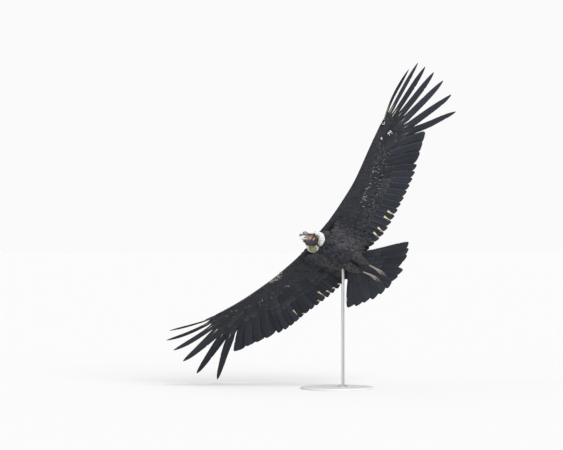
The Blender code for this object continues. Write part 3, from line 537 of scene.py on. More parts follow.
def feather_finish(name, dark, fringe, shaft, barbs=60.0, roughness=0.6, shade=0.25, white_from=0.16,
                   streak="edge", flank=None, worn=(0.80, 0.68, 0.43)):
    """Feather finish that reads each vane's "vane" (along, side, tone) and "habit".

    Habit holds how white the back is, how pale the streak is and how far out the white reaches; on body
    feathers the third value is how far the colour has turned to the flank's.
    """
    mat, tree = new_material(name)
    along, across, tone_value = attribute_parts(tree, "vane")
    white_back, streak_share, third = attribute_parts(tree, "habit")
    barb = put(tree, "ShaderNodeGroup", {"Barbs": barbs, "Along": along, "Side": across,
                                         "Object": object_place(tree)}, node_tree=BARBS).outputs
    tone = scaled(tree, tone_value, shade * 2, 1.0 - shade)
    tone = times(tree, tone, scaled(tree, noise(tree, 9.0, 4.0, 0.6), 0.6, 0.70))
    tone = times(tree, tone, scaled(tree, barb["Streak"], 0.20, 0.90))
    grey = put(tree, "ShaderNodeCombineXYZ", {0: tone, 1: tone, 2: tone})
    base = dark if flank is None else blend_colour(tree, third, dark, flank)
    colour = blend_colour(tree, 1.0, base, grey.outputs[0], "MULTIPLY")
    rim = times(tree, barb["Fringe"], scaled(tree, tone_value, 0.6, 0.2))
    colour = blend_colour(tree, rim, colour, fringe)
    quill = times(tree, barb["Shaft"], band(tree, along, 0.25, 0.75, 1.0, 0.3))
    colour = blend_colour(tree, times(tree, quill, 0.35), colour, shaft)
    ragged = scaled(tree, barb["Streak"], 0.012, along)
    white = times(tree, white_back, band(tree, ragged, white_from, white_from + 0.04))
    if flank is None:
        gone = sums(tree, "SUBTRACT", ragged, third)
        white = times(tree, white, band(tree, gone, -0.012, 0.012, 1.0, 0.0))
    white = times(tree, white, scaled(tree, noise(tree, 30.0, 3.0), 0.4, 0.8), clamp=True)
    colour = blend_colour(tree, white, colour, WHITE_PANEL)
    if streak == "edge":
        length = sums(tree, "MAXIMUM", sums(tree, "SUBTRACT", 1.0, third), 0.01)
        run = sums(tree, "DIVIDE", sums(tree, "SUBTRACT", 1.0, along), length)
        reach = times(tree, band(tree, run, 0.04, 0.10), band(tree, run, 0.85, 1.0, 1.0, 0.0))
        aside = sums(tree, "ABSOLUTE", sums(tree, "SUBTRACT", across, scaled(tree, run, 0.75, -0.98)))
        pale = times(tree, sums(tree, "MAXIMUM", streak_share, 0.0),
                     times(tree, reach, band(tree, aside, 0.14, 0.26, 1.0, 0.0)))
        root = times(tree, band(tree, along, 0.05, 0.15), band(tree, along, 0.36, 0.46, 1.0, 0.0))
        bare = times(tree, times(tree, streak_share, -1.0, clamp=True), times(tree, root, barb["Shaft"]))
        pale = sums(tree, "MAXIMUM", pale, bare)
    else:
        reach = times(tree, band(tree, along, 0.30, 0.45), band(tree, along, 0.82, 0.96, 1.0, 0.0))
        narrow = band(tree, sums(tree, "ABSOLUTE", across), 0.14, 0.30, 1.0, 0.0)
        pale = times(tree, streak_share, times(tree, reach, narrow))
    colour = blend_colour(tree, pale, colour, worn)
    return finished(mat, {"Base Color": colour, "Roughness": scaled(tree, barb["Streak"], 0.12, roughness),
                          "Specular IOR Level": 0.16}, barb["Height"], strength=0.4)


# Wings in their own plane


def wing_height(span):
    """Height of the wing's mid surface, which rises towards the tip."""
    out = max(span - 0.14, 0.0)
    return 0.03 + 0.055 * out + 0.075 * out * out


def wing_surface(wing, x, span):
    """Point on the wing's mid surface."""
    lead = smooth_value(wing["lead"], span)
    trail = smooth_value(wing["trail"], span)
    c = min(max((lead - x) / (lead - trail), 0.0), 1.0)
    z = wing_height(span) + WING_CAMBER * 4 * c * (1 - c)
    return Vector((x, span * wing["side"], z))


def bone_place(wing, u):
    """Root of a flight feather: u from 0 at the body to 1 at the wrist and 2 at the hand's end."""
    if u <= 1:
        span = FIRST_ROOT_SPAN + (WRIST_SPAN - FIRST_ROOT_SPAN) * u
        depth = 0.27 + 0.02 * math.sin(math.pi * u) - 0.10 * u
    else:
        span = WRIST_SPAN + (HAND_END_SPAN - WRIST_SPAN) * (u - 1)
        depth = 0.17 - 0.08 * (u - 1)
    lead = smooth_value(wing["lead"], span)
    trail = smooth_value(wing["trail"], span)
    return Vector((lead + (trail - lead) * depth, span, 0))


def feather_line(kind, root, bend, tip, width, **more):
    """One flight feather: its plan line and width; more tells what sets a finger apart."""
    return {"kind": kind, "root": root, "bend": bend, "tip": tip, "width": width, "lift": 0.0,
            "start": 1.0, "finger": False, **more}


def flight_feathers(wing):
    """Every flight feather of a wing, from the body out, as its plan line and widths."""
    feathers = []
    for i in range(SECONDARIES):
        u = i / (SECONDARIES - 1)
        tip_span = INNER_TIP_SPAN + (HAND_JOIN_SPAN - INNER_TIP_SPAN) * u
        root = bone_place(wing, 0.97 * u)
        tip = Vector((smooth_value(wing["trail"], tip_span), tip_span, 0))
        bend = (root + tip) / 2 + Vector((0, 0.012 * u, 0))
        feathers.append(feather_line("secondary", root, bend, tip, SECONDARY_WIDTH))
    for i in range(INNER_PRIMARIES):
        tip_span = HAND_JOIN_SPAN + PRIMARY_STEP * (i + 1)
        root = bone_place(wing, 1.0 + i / LAST_PRIMARY)
        tip = Vector((smooth_value(wing["trail"], tip_span), tip_span, 0))
        bend = (root + tip) / 2 + Vector((0.012, 0.012, 0))
        feathers.append(feather_line("inner primary", root, bend, tip, PRIMARY_WIDTH))
    for i in reversed(range(FINGERS)):
        root = bone_place(wing, 1.0 + (LAST_PRIMARY - i) / LAST_PRIMARY)
        base = Vector((*wing["finger_base"][i], 0))
        tip = Vector((*wing["finger_tip"][i], 0))
        at = (base - root).length / ((base - root).length + (tip - base).length)
        bend = (base - root * (1 - at) ** 2 - tip * at * at) / (2 * at * (1 - at))
        feathers.append(feather_line("primary", root, bend, tip, wing["finger_width"][i],
                                     lift=FINGER_LIFT[i], start=at, waist=wing["finger_waist"][i],
                                     finger=at < SHORT_FINGER))
    return feathers


def feather_spine(wing, feather, offset=0.0, length=1.0, sink=0.0):
    """3-D line of a feather: offset moves it off the wing's mid surface once clear of its root."""
    def spine(t):
        s = t * length
        a, b, c = feather["root"], feather["bend"], feather["tip"]
        plan = a * (1 - s) ** 2 + b * 2 * s * (1 - s) + c * s * s
        point = wing_surface(wing, plan.x, plan.y)
        past = max(s - feather["start"], 0.0) / max(1.0 - feather["start"], 0.001)
        point.z += feather["lift"] * past ** 1.7
        clear = min(max(t, 0.0) / 0.5, 1.0)
        point.z += sink + (offset - sink) * clear * (2 - clear)
        return point
    return spine


def round_end(t, start=0.90):
    """Share of full width near a feather's round end."""
    if t <= start:
        return 1.0
    x = min((t - start) / (1 - start), 1.0)
    return max(1 - x ** 3.2, 0.0) ** (1 / 3.2)


def finger_widths(feather):
    """A primary: broad to where the wing opens, then cut in and drawn out to a point."""
    full = feather["width"]
    start = feather["start"]
    waist = feather["waist"]
    marks = [(0.0, 0.60), (start * 0.5, 1.10 * waist), (start, 0.92 * waist),
             (start + 0.12, 0.90 * waist), (0.78, 0.98), (0.92, 0.66), (1.0, 0.20)]

    def widths(t):
        w = full * smooth_value(marks, t) * max(round_end(t, 0.95), 0.06)
        slim = min(max((t - start + 0.03) / 0.06, 0.0), 1.0)
        ahead = 0.50 + (FINGER_AHEAD - 0.50) * slim
        return w * ahead, w * (1 - ahead)
    return widths


BLADE_SHAPE = [(0.0, 0.50), (0.35, 0.92), (0.7, 1.0), (0.9, 0.95), (1.0, 0.80)]


def blade_widths(full, shape=BLADE_SHAPE, end=0.91):
    """A secondary, covert or tail feather: even sided with a round end."""
    def widths(t):
        w = full * smooth_value(shape, t) * max(round_end(t, end), 0.10)
        return w * 0.45, w * 0.55
    return widths


VANE_COLUMNS = (-1.0, -0.72, -0.36, -0.055, 0.055, 0.45, 1.0)
TIP_SHEAR = 0.40
# Rows of points along a feather, as shares of its length
FLIGHT_ROWS = (0.0, 0.06, 0.14, 0.22, 0.30, 0.38, 0.46, 0.54, 0.62, 0.70, 0.77, 0.83, 0.88, 0.915, 0.94,
               0.96, 0.975, 0.988, 0.996, 1.0)
COVERT_ROWS = (0.0, 0.15, 0.3, 0.45, 0.6, 0.75, 0.86, 0.92, 0.96, 0.99, 1.0)
TAIL_ROWS = (0.0, 0.1, 0.2, 0.3, 0.4, 0.5, 0.6, 0.7, 0.78, 0.85, 0.9, 0.935, 0.96, 0.98, 0.992, 1.0)
TAIL_COVERT_ROWS = (0.0, 0.2, 0.4, 0.6, 0.8, 0.9, 0.95, 0.985, 1.0)
SPLIT_HALF_WIDTH = 0.010


def new_book():
    """Lists that the vanes of one piece are written into."""
    return {"verts": [], "faces": [], "vane": [], "habit": [], "bake": []}


def parted_barbs(rng, rows, counts, sides, places, depths):
    """Splits in a vane, clear of its rows: share of its length, side and depth."""
    splits = [(rng.uniform(*places), rng.choice(sides), rng.uniform(*depths))
              for _ in range(rng.choice(counts))]
    return [split for split in splits if all(abs(split[0] - t) > 0.004 for t in rows)]


def plain_habit(t, s, layer):
    """Neither a white back nor a pale streak."""
    return (0.0, 0.0, 0.0)


def add_vane(book, spine, widths, rows, side, tilt, tone, patch, habit=plain_habit, camber=0.0025,
             thick=0.0009, splits=(), shear=0.0):
    """One flight feather: a closed thin vane with a raised shaft, and splits where its barbs part.

    Shear cuts the end off at a slant, so that the leading web reaches further.
    """
    marks = sorted([*rows, *(t + d * SPLIT_HALF_WIDTH for t, _, _ in splits for d in (-1, 0, 1))])
    n = len(VANE_COLUMNS)
    first = len(book["verts"])
    for t in marks:
        here = spine(t)
        along = (spine(t + 0.01) - spine(t - 0.01)).normalized()
        lead = (along.cross(UP) * side).normalized()
        top = lead.cross(along) * side
        edge = lead * math.cos(tilt) + top * math.sin(tilt)
        face = top * math.cos(tilt) - lead * math.sin(tilt)
        ahead, behind = widths(t)
        for split_t, split_side, depth in splits:
            if abs(t - split_t) < 0.002:
                if split_side > 0:
                    ahead *= 1 - depth
                else:
                    behind *= 1 - depth
        shaft = 0.0011 * (1 - 0.75 * t)
        for layer in (1, -1):
            for s in VANE_COLUMNS:
                reach = s * (ahead if s > 0 else behind)
                body = thick * (0.5 - 0.25 * abs(s)) + (shaft if abs(s) < 0.1 else 0.0)
                point = here + edge * reach + face * (layer * body - camber * s * s)
                point += along * reach * shear * smooth_share((t - 0.78) / 0.22)
                book["verts"].append(point)
                book["vane"].append((t, s, tone))
                book["habit"].append(habit(t, s, layer))
                u = patch[0] + patch[2] * t
                v = patch[1] + patch[3] * (0.25 + 0.25 * layer + 0.21 * (s + 1))
                book["bake"].append((u, v))
    for i in range(len(marks) - 1):
        a = first + i * 2 * n
        b = a + 2 * n
        for j in range(n - 1):
            book["faces"].append((a + j, a + j + 1, b + j + 1, b + j))
            book["faces"].append((a + n + j + 1, a + n + j, b + n + j, b + n + j + 1))
        book["faces"].append((a, b, b + n, a + n))
        book["faces"].append((a + n - 1, a + 2 * n - 1, b + 2 * n - 1, b + n - 1))
    for a in (first, first + (len(marks) - 1) * 2 * n):
        ring = list(range(a, a + n)) + list(range(a + 2 * n - 1, a + n - 1, -1))
        book["faces"].append(tuple(ring if a == first else ring[::-1]))


def vector_attribute(mesh, name, values):
    """Writes one vector for each point of a mesh."""
    layer = mesh.attributes.new(name, "FLOAT_VECTOR", "POINT")
    layer.data.foreach_set("vector", [x for v in values for x in v])


def close_book(name, book, mat):
    """Turns a book of vanes into one finished object."""
    obj = new_piece(name, book["verts"], book["faces"])
    mesh = obj.data
    vector_attribute(mesh, "vane", book["vane"])
    vector_attribute(mesh, "habit", book["habit"])
    bake = mesh.uv_layers.new(name="OFBake")
    corners = [0] * len(mesh.loops)
    mesh.loops.foreach_get("vertex_index", corners)
    bake.data.foreach_set("uv", [x for k in corners for x in book["bake"][k]])
    mesh.materials.append(mat)
    return obj


# Feathers laid by Geometry Nodes


def read_attribute(tree, name, kind="FLOAT_VECTOR"):
    return put(tree, "GeometryNodeInputNamedAttribute", {"Name": name}, data_type=kind).outputs[0]


def store_attribute(tree, name, kind, domain, geometry, value):
    inputs = {"Name": name, "Geometry": geometry, "Value": value}
    return put(tree, "GeometryNodeStoreNamedAttribute", inputs, data_type=kind, domain=domain).outputs[0]


def random_value(tree, ins, low, high, salt):
    """A seeded random number for each point."""
    seed = put(tree, "FunctionNodeIntegerMath", {0: ins["Seed"], 1: salt}, operation="ADD")
    return put(tree, "FunctionNodeRandomValue", {2: low, 3: high, "Seed": seed.outputs[0]},
               data_type="FLOAT").outputs[1]


def vector_math(tree, operation, a, b):
    key = "Scale" if operation == "SCALE" else 1
    return put(tree, "ShaderNodeVectorMath", {0: a, key: b}, operation=operation).outputs[0]


# Roots tried for each square of the spacing, before those that stand too close are taken out
ROOT_CROWDING = 1.6


def feather_tree(name, scattered):
    """Lays one feather at each root: scattered over a surface, or at given points.

    Roots carry "face" (outward), "lie" (the way it points), "size" (length, width, height) and
    "root_place" (the root's place on the skin's unwrap).
    """
    tree, ins, outs = node_group(
        name, "GeometryNodeTree",
        [("Geometry", "g"), ("Feather", "o"), ("Spacing", "f"), ("Lift", "f"), ("Stray", "f"),
         ("Uneven", "f"), ("Seed", "i"), ("Finish", "m")], [("Geometry", "g")])
    roots = ins["Geometry"]
    if scattered:
        gap = ins["Spacing"]
        density = sums(tree, "DIVIDE", ROOT_CROWDING, times(tree, gap, gap))
        roots = put(tree, "GeometryNodeDistributePointsOnFaces",
                    {"Mesh": roots, "Distance Min": gap, "Density Max": density, "Seed": ins["Seed"]},
                    distribute_method="POISSON").outputs["Points"]
    axes = {"Primary Axis": read_attribute(tree, "face"), "Secondary Axis": read_attribute(tree, "lie")}
    turn = put(tree, "FunctionNodeAxesToRotation", axes, primary_axis="Z", secondary_axis="X")
    roll = times(tree, random_value(tree, ins, -1.0, 1.0, 1), times(tree, ins["Stray"], 0.6))
    pitch = times(tree, ins["Lift"], random_value(tree, ins, -1.3, -0.7, 2))
    yaw = times(tree, random_value(tree, ins, -1.0, 1.0, 3), ins["Stray"])
    sway = put(tree, "ShaderNodeCombineXYZ", {0: roll, 1: pitch, 2: yaw})
    bend = put(tree, "FunctionNodeEulerToRotation", {0: sway.outputs[0]})
    place = put(tree, "FunctionNodeRotateRotation", {0: turn.outputs[0], 1: bend.outputs[0]},
                rotation_space="LOCAL")
    uneven = scaled(tree, random_value(tree, ins, -1.0, 1.0, 4), ins["Uneven"], 1.0)
    size = vector_math(tree, "SCALE", read_attribute(tree, "size"), uneven)
    feather = put(tree, "GeometryNodeObjectInfo", {"Object": ins["Feather"]})
    lay = put(tree, "GeometryNodeInstanceOnPoints",
              {"Points": roots, "Instance": feather.outputs["Geometry"], "Rotation": place.outputs[0],
               "Scale": size})
    shape = store_attribute(tree, "tone", "FLOAT", "INSTANCE", lay.outputs[0],
                            random_value(tree, ins, 0.0, 1.0, 5))
    shape = put(tree, "GeometryNodeRealizeInstances", {0: shape}).outputs[0]
    leaf = read_attribute(tree, "leaf")
    parts = put(tree, "ShaderNodeSeparateXYZ", {0: leaf}).outputs
    tone = read_attribute(tree, "tone", "FLOAT")
    vane = put(tree, "ShaderNodeCombineXYZ", {0: parts[0], 1: parts[1], 2: tone})
    shape = store_attribute(tree, "vane", "FLOAT_VECTOR", "POINT", shape, vane.outputs[0])
    bake = vector_math(tree, "ADD", read_attribute(tree, "root_place"),
                       vector_math(tree, "SCALE", leaf, BAKE_PATCH))
    shape = store_attribute(tree, "OFBake", "FLOAT2", "CORNER", shape, bake)
    shape = put(tree, "GeometryNodeSetMaterial", {"Geometry": shape, "Material": ins["Finish"]}).outputs[0]
    tree.links.new(shape, outs[0])
    return tree


def lay_feathers(name, roots, feather, mat, lift, stray, uneven, seed, spacing=0.0):
    """Lays a feather at each root, or scatters them over a surface, and keeps only the plain mesh.

    Lift and stray are in degrees; a spacing makes them scattered.
    """
    tree = SCATTERED if spacing else LAID
    nodes = roots.modifiers.new("feathers", "NODES")
    nodes.node_group = tree
    values = {"Feather": feather, "Spacing": spacing, "Lift": math.radians(lift),
              "Stray": math.radians(stray), "Uneven": uneven, "Seed": seed, "Finish": mat}
    for item in tree.interface.items_tree:
        if item.in_out == "INPUT" and item.name in values:
            nodes[item.identifier] = values[item.name]
    finish_modifiers(roots)
    mesh = roots.data
    roots.name = name
    mesh.name = name
    for spare in ("face", "lie", "size", "root_place", "leaf", "tone"):
        layer = mesh.attributes.get(spare)
        if layer:
            mesh.attributes.remove(layer)
    mesh.shade_smooth()
    while len(mesh.materials) > 1 and mesh.materials[0] is None:
        mesh.materials.pop(index=0)
    if not mesh.materials:
        mesh.materials.append(mat)
    return roots


def leaf_feather(name, widths, droop, thick, crown=0.10):
    """The small feather that the trees lay: length 1 along +X, width 1 along Y, upper face +Z."""
    verts = []
    leaf = []
    rows = [0.0, 0.30, 0.60, 0.85, 1.0]
    for t, w in zip(rows, widths):
        for layer in (1, -1):
            for s in (-1, 0, 1):
                z = crown * (1 - s * s) * w - droop * t * t + layer * thick * (1 - 0.6 * t)
                verts.append(Vector((t, s * w / 2, z)))
                leaf.append((t, float(s), 0.0))
    faces = []
    for a in range(0, 6 * len(rows) - 6, 6):
        b = a + 6
        for j in range(2):
            faces.append((a + j, a + j + 1, b + j + 1, b + j))
            faces.append((a + 4 + j, a + 3 + j, b + 3 + j, b + 4 + j))
        faces.append((a, b, b + 3, a + 3))
        faces.append((a + 2, a + 5, b + 5, b + 2))
    end = len(verts) - 6
    faces += [(0, 1, 2, 5, 4, 3), (end + 3, end + 4, end + 5, end + 2, end + 1, end)]
    obj = new_piece(name, verts, faces, Matrix.Identity(4))
    vector_attribute(obj.data, "leaf", leaf)
    return obj


# Plumes of one tuft: turn aside, slope and length
PLUMES = ((0.0, 0.02, 1.0), (0.60, 0.22, 0.85), (-0.65, 0.14, 0.90), (0.15, 0.42, 0.75))


def down_tuft(name, width, curl):
    """Four thin curling plumes of down from one root, length 1 along +X."""
    shapes = []
    leaf = []
    for yaw, pitch, long in PLUMES:
        rings = []
        for t in (0.0, 0.45, 1.0):
            r = width * (0.75 + 1.4 * t * (1 - t)) * (1.0 if t < 1 else 0.12)
            x = t * long
            way = yaw * (1 - 0.5 * t)
            centre = Vector((x * math.cos(way), x * math.sin(way),
                             x * pitch + curl * math.sin(math.pi * t) * 0.5 - curl * t * t))
            angles = [2 * math.pi * k / 3 + yaw for k in range(3)]
            rings.append([centre + Vector((0, r * math.cos(a), 0.7 * r * math.sin(a))) for a in angles])
            leaf += [(t, math.cos(a), 0.0) for a in angles]
        shapes.append(loft_shape(rings))
    obj = new_piece(name, *shape_sum(shapes), Matrix.Identity(4))
    vector_attribute(obj.data, "leaf", leaf)
    return obj


def roots_object(roots, faces=()):
    """Loose points, or a surface, that carry what the feather tree reads.

    Each root is its place, the way its feather lies, its size, the outward direction, its place on the
    unwrap and its habit.
    """
    turn = FLIGHT.to_3x3()
    places, ways, sizes, outward, patches, habits = zip(*roots)
    mesh = bpy.data.meshes.new("roots")
    mesh.from_pydata([tuple(FLIGHT @ p) for p in places], [], faces)
    mesh.update()
    for label, values in (("lie", [turn @ v for v in ways]), ("face", [turn @ v for v in outward]),
                          ("size", sizes), ("root_place", [(u, v, 0.0) for u, v in patches]),
                          ("habit", habits)):
        vector_attribute(mesh, label, values)
    return linked("roots", mesh)


def root_surface(grid, lie, size, corner, span, habit=None):
    """A surface from a grid of points that feathers are scattered on.

    lie(point), size(point, share of the rows) and habit(point) tell each root its way, size and habit.
    """
    rows = len(grid)
    cols = len(grid[0])
    faces = []
    roots = []
    for i in range(rows):
        u = i / (rows - 1)
        for j in range(cols):
            p = grid[i][j]
            du = grid[min(i + 1, rows - 1)][j] - grid[max(i - 1, 0)][j]
            dv = grid[i][min(j + 1, cols - 1)] - grid[i][max(j - 1, 0)]
            normal = du.cross(dv).normalized()
            way = lie(p)
            way = (way - normal * way.dot(normal)).normalized()
            patch = (corner[0] + span[0] * u, corner[1] + span[1] * j / (cols - 1))
            roots.append((p, way, size(p, u), normal, patch, habit(p) if habit else (0.0, 0.0, 0.0)))
            if i < rows - 1 and j < cols - 1:
                a = i * cols + j
                faces.append((a, a + 1, a + cols + 1, a + cols))
    return roots_object(roots, faces)


LAID = feather_tree("laid feathers", False)
SCATTERED = feather_tree("scattered feathers", True)

# Finishes
SLATE = feather_finish("slate flight feathers", (0.0225, 0.0255, 0.0350), (0.034, 0.037, 0.046),
                       (0.10, 0.09, 0.075), barbs=200.0)
SLATE_COVERTS = feather_finish("slate small feathers", (0.027, 0.029, 0.036), (0.062, 0.062, 0.068),
                               (0.050, 0.049, 0.050), barbs=26.0, shade=0.30, white_from=0.60,
                               streak="shaft", worn=(0.46, 0.44, 0.41))
# brown-grey flanks against a slate belly line and back; that contrast is partly painted light and shade
BELLY_COAT = feather_finish("brown-grey belly feathers", (0.045, 0.043, 0.048), (0.085, 0.082, 0.087),
                            (0.070, 0.066, 0.068), barbs=14.0, roughness=0.75, shade=0.55,
                            streak="shaft", flank=(0.023, 0.025, 0.032))


# Places on the ruff's lower lobe painted with olive shade, with the painted shade's reach and strength
RUFF_PAINTED_SHADE = (((0.236, -0.055, -0.113), 0.037, 0.95), ((0.220, 0.003, -0.117), 0.016, 0.6))


def down_finish(name, stains_and_shade, stain_and_shade_colour):
    """White down with its stains and its painted shade, each given as place, reach and strength."""
    mat, tree = new_material(name)
    along, _, tone = attribute_parts(tree, "vane")
    warm = blend_colour(tree, tone, (0.93, 0.925, 0.90), (0.96, 0.96, 0.96))
    colour = blend_colour(tree, band(tree, along, 0.0, 0.4, 0.4, 0.0), warm, (0.84, 0.82, 0.74))
    # lays each stain and each patch of painted shade over the down
    for place, radius, strength in stains_and_shade:
        here = FLIGHT @ Vector(place)
        colour = dab(tree, colour, here, radius, strength, stain_and_shade_colour, softness=0.012, ragged=0.010)
    return finished(mat, {"Base Color": colour, "Roughness": 0.85, "Sheen Weight": 0.3,
                          "Subsurface Weight": 0.35, "Subsurface Radius": (0.006, 0.006, 0.006)})


# on the ruff, the olive places are painted shade on its lower lobe
DOWN = down_finish("white down", RUFF_PAINTED_SHADE, (0.34, 0.34, 0.16))
TUFT_DOWN = down_finish("ruffled down", (((0.187, -0.440, 0.050), 0.090, 0.8),), (0.30, 0.26, 0.21))


COVERT_LEAF = leaf_feather("covert leaf", (0.55, 0.92, 1.0, 0.72, 0.18), 0.05, 0.012)
EDGE_LEAF = leaf_feather("edge leaf", (0.34, 0.85, 1.0, 0.76, 0.20), 0.22, 0.008, 0.04)
BODY_LEAF = leaf_feather("body leaf", (0.40, 0.75, 0.86, 0.66, 0.18), 0.10, 0.012, 0.14)
DOWN_TUFT = down_tuft("down tuft", 0.034, 0.30)

# Wings

WHITE_END = 0.90
INNER_PRIMARY_WHITE_END = 0.62
# Worn cream streaks below, by secondary from the body out: how pale, and where along it one starts
CREAM_STREAKS = {
    "left": {2: (1.0, 0.50), 3: (1.0, 0.78), 4: (1.0, 0.80), 6: (1.0, 0.79), 7: (0.9, 0.80)},
    "right": {3: (0.9, 0.93), 4: (0.9, 0.91), 5: (0.8, 0.86), 6: (1.0, 0.74), 7: (0.5, 0.92),
              10: (0.7, 0.95), 11: (1.0, 0.72)},
}


def flight_habit(kind, finger, pale, start):
    """Where a flight feather is white on its back and where its underside shows a pale streak."""
    def habit(t, s, layer):
        if layer < 0:
            return (0.0, -0.9 if finger else pale, start)
        if kind == "secondary":
            return (1.0 if s > -0.45 else 0.1, 0.0, WHITE_END)
        if kind == "inner primary":
            return (0.8 if s > 0.1 else 0.0, 0.0, INNER_PRIMARY_WHITE_END)
        return (0.0, 0.0, 1.0)
    return habit


def make_flight_feathers(name, wing):
    """Secondaries and primaries of one wing."""
    rng = random.Random(51 if wing["side"] > 0 else 52)
    book = new_book()
    for k, feather in enumerate(flight_feathers(wing)):
        finger = feather["finger"]
        widths = finger_widths(feather) if finger else blade_widths(feather["width"])
        splits = parted_barbs(rng, FLIGHT_ROWS, (0, 1, 1, 2), (-1, -1, 1), (0.62, 0.95), (0.10, 0.30))
        if finger:
            splits = [(t, s, d * 0.6) for t, s, d in splits if t > feather["start"] + 0.05]
        habit = flight_habit(feather["kind"], finger, *CREAM_STREAKS[name].get(k, (0.0, 0.9)))
        add_vane(book, feather_spine(wing, feather), widths, FLIGHT_ROWS, wing["side"], VANE_TILT,
                 rng.random(), (0.02, 0.02 + 0.036 * k, 0.44, 0.030), habit, splits=splits,
                 shear=0.0 if finger else TIP_SHEAR)
    return close_book("wing_%s_flight_feathers" % name, book, SLATE)


def covert_habit(white):
    """White only on the upper face."""
    def habit(t, s, layer):
        return (white if layer > 0 else 0.0, 0.0, 2.0)
    return habit


# Rows of long coverts: reach along the feather below, rise off the wing, width
GREATER_ROWS = ((0.58, 0.0052, 0.052), (0.44, 0.0085, 0.046))


def make_greater_coverts(name, wing):
    """The long coverts that lie over the flight feathers' roots on both faces."""
    rng = random.Random(53 if wing["side"] > 0 else 54)
    book = new_book()
    feathers = flight_feathers(wing)
    row = 0
    for face in (-1, 1):
        for reach, rise, width in GREATER_ROWS:
            first_row = reach > 0.5
            for k, feather in enumerate(feathers):
                hand = k >= SECONDARIES
                length = reach * (0.70 if hand else 1.0) * rng.uniform(0.965, 1.035)
                broad = width * rng.uniform(0.92, 1.06)
                if feather["finger"]:
                    length = min(length, feather["start"] * (1.02 if first_row else 0.80))
                    broad = min(broad, feather["width"] * feather["waist"] * 0.95)
                spine = feather_spine(wing, feather, face * rise, length, face * 0.002)
                white = 0.9 if face > 0 and not hand and first_row else 0.0
                add_vane(book, spine, blade_widths(broad), COVERT_ROWS, wing["side"], VANE_TILT,
                         rng.random(), (0.50 + 0.12 * row, 0.02 + 0.036 * k, 0.10, 0.030),
                         covert_habit(white), camber=0.002 * face, thick=0.0008)
            row += 1
    return close_book("wing_%s_greater_coverts" % name, book, SLATE_COVERTS)


CORE_SHARE = [(0.03, 0.50), (0.28, 0.46), (0.50, 0.36), (0.72, 0.24), (0.90, 0.12), (0.985, 0.05)]
CORE_HALF = [(0.03, 0.034), (0.18, 0.028), (0.50, 0.017), (0.72, 0.010), (0.90, 0.004), (0.985, 0.0018)]
CORE_SECTION = [(0.0, 0.0), (0.02, 0.36), (0.06, 0.65), (0.16, 0.95), (0.36, 1.0), (0.66, 0.62),
                (1.0, 0.16)]


def core_point(wing, span, c, face, sink=0.0):
    """Point on the wing core's skin at a share c of its reach from the leading edge."""
    lead = smooth_value(wing["lead"], span)
    trail = smooth_value(wing["trail"], span)
    reach = smooth_value(CORE_SHARE, span) * (lead - trail)
    thick = max(smooth_value(CORE_HALF, span) - sink, 0.0015)
    p = wing_surface(wing, lead - sink - c * (reach - sink), span)
    half = smooth_value(CORE_SECTION, c) * thick
    return p + UP * half * (1.0 if face > 0 else -0.85)


def make_wing_core(name, wing):
    """Arm and hand under the small feathers."""
    rings = []
    shares = [0.0, 0.02, 0.06, 0.12, 0.2, 0.3, 0.42, 0.56, 0.72, 0.88, 1.0]
    for k in range(34):
        span = 0.03 + 0.029 * k
        rings.append([core_point(wing, span, c, 1, 0.003) for c in shares]
                     + [core_point(wing, span, c, -1, 0.003) for c in reversed(shares[1:])])
    return dressed(new_piece("wing_%s_core" % name, *loft_shape(rings)), SLATE_COVERTS)


def flight_way(feathers, span):
    """Direction of the flight feathers near a span, in plan."""
    marks = sorted((f["root"].y, *(f["tip"] - f["root"]).normalized()) for f in feathers)
    return [smooth_value([(mark[0], mark[k]) for mark in marks], span) for k in (1, 2)]


LESSER_ROWS = 15
ROW_GROWTH = 1.45
LONGEST_LESSER = 0.060
EDGE_ROWS = 3
HAND_SKIN_END = 0.95

# Places in the wing's plan where a few underside feathers are pale: forward, span, reach, how pale
WHITE_SPOTS = {
    "left": ((0.312, 0.966, 0.010, 1.0), (0.201, 0.929, 0.019, 1.0), (0.246, 0.866, 0.009, 1.0)),
    "right": ((0.2355, 0.915, 0.008, 0.2), (0.237, 0.856, 0.007, 0.2), (0.2096, 0.835, 0.010, 0.15)),
}
SPOT_DEPTH = 0.0100
SPOT_CROWDING = 900
# Loose worn feathers under the arm: how many, first and last span, and where they lie behind the
# leading edge at both
WORN_TICKS = {"left": (100, 0.26, 0.80, 0.310, 0.130), "right": (14, 0.52, 0.90, 0.150, 0.110)}
# Part of the underside where worn feathers show pale shafts: share of the arm's reach, span
WORN_SHARES = (0.60, 1.0)
WORN_SPANS = {"left": (0.36, 0.84), "right": (0.45, 0.80)}
WORN_ODDS = {"left": 0.22, "right": 0.10}


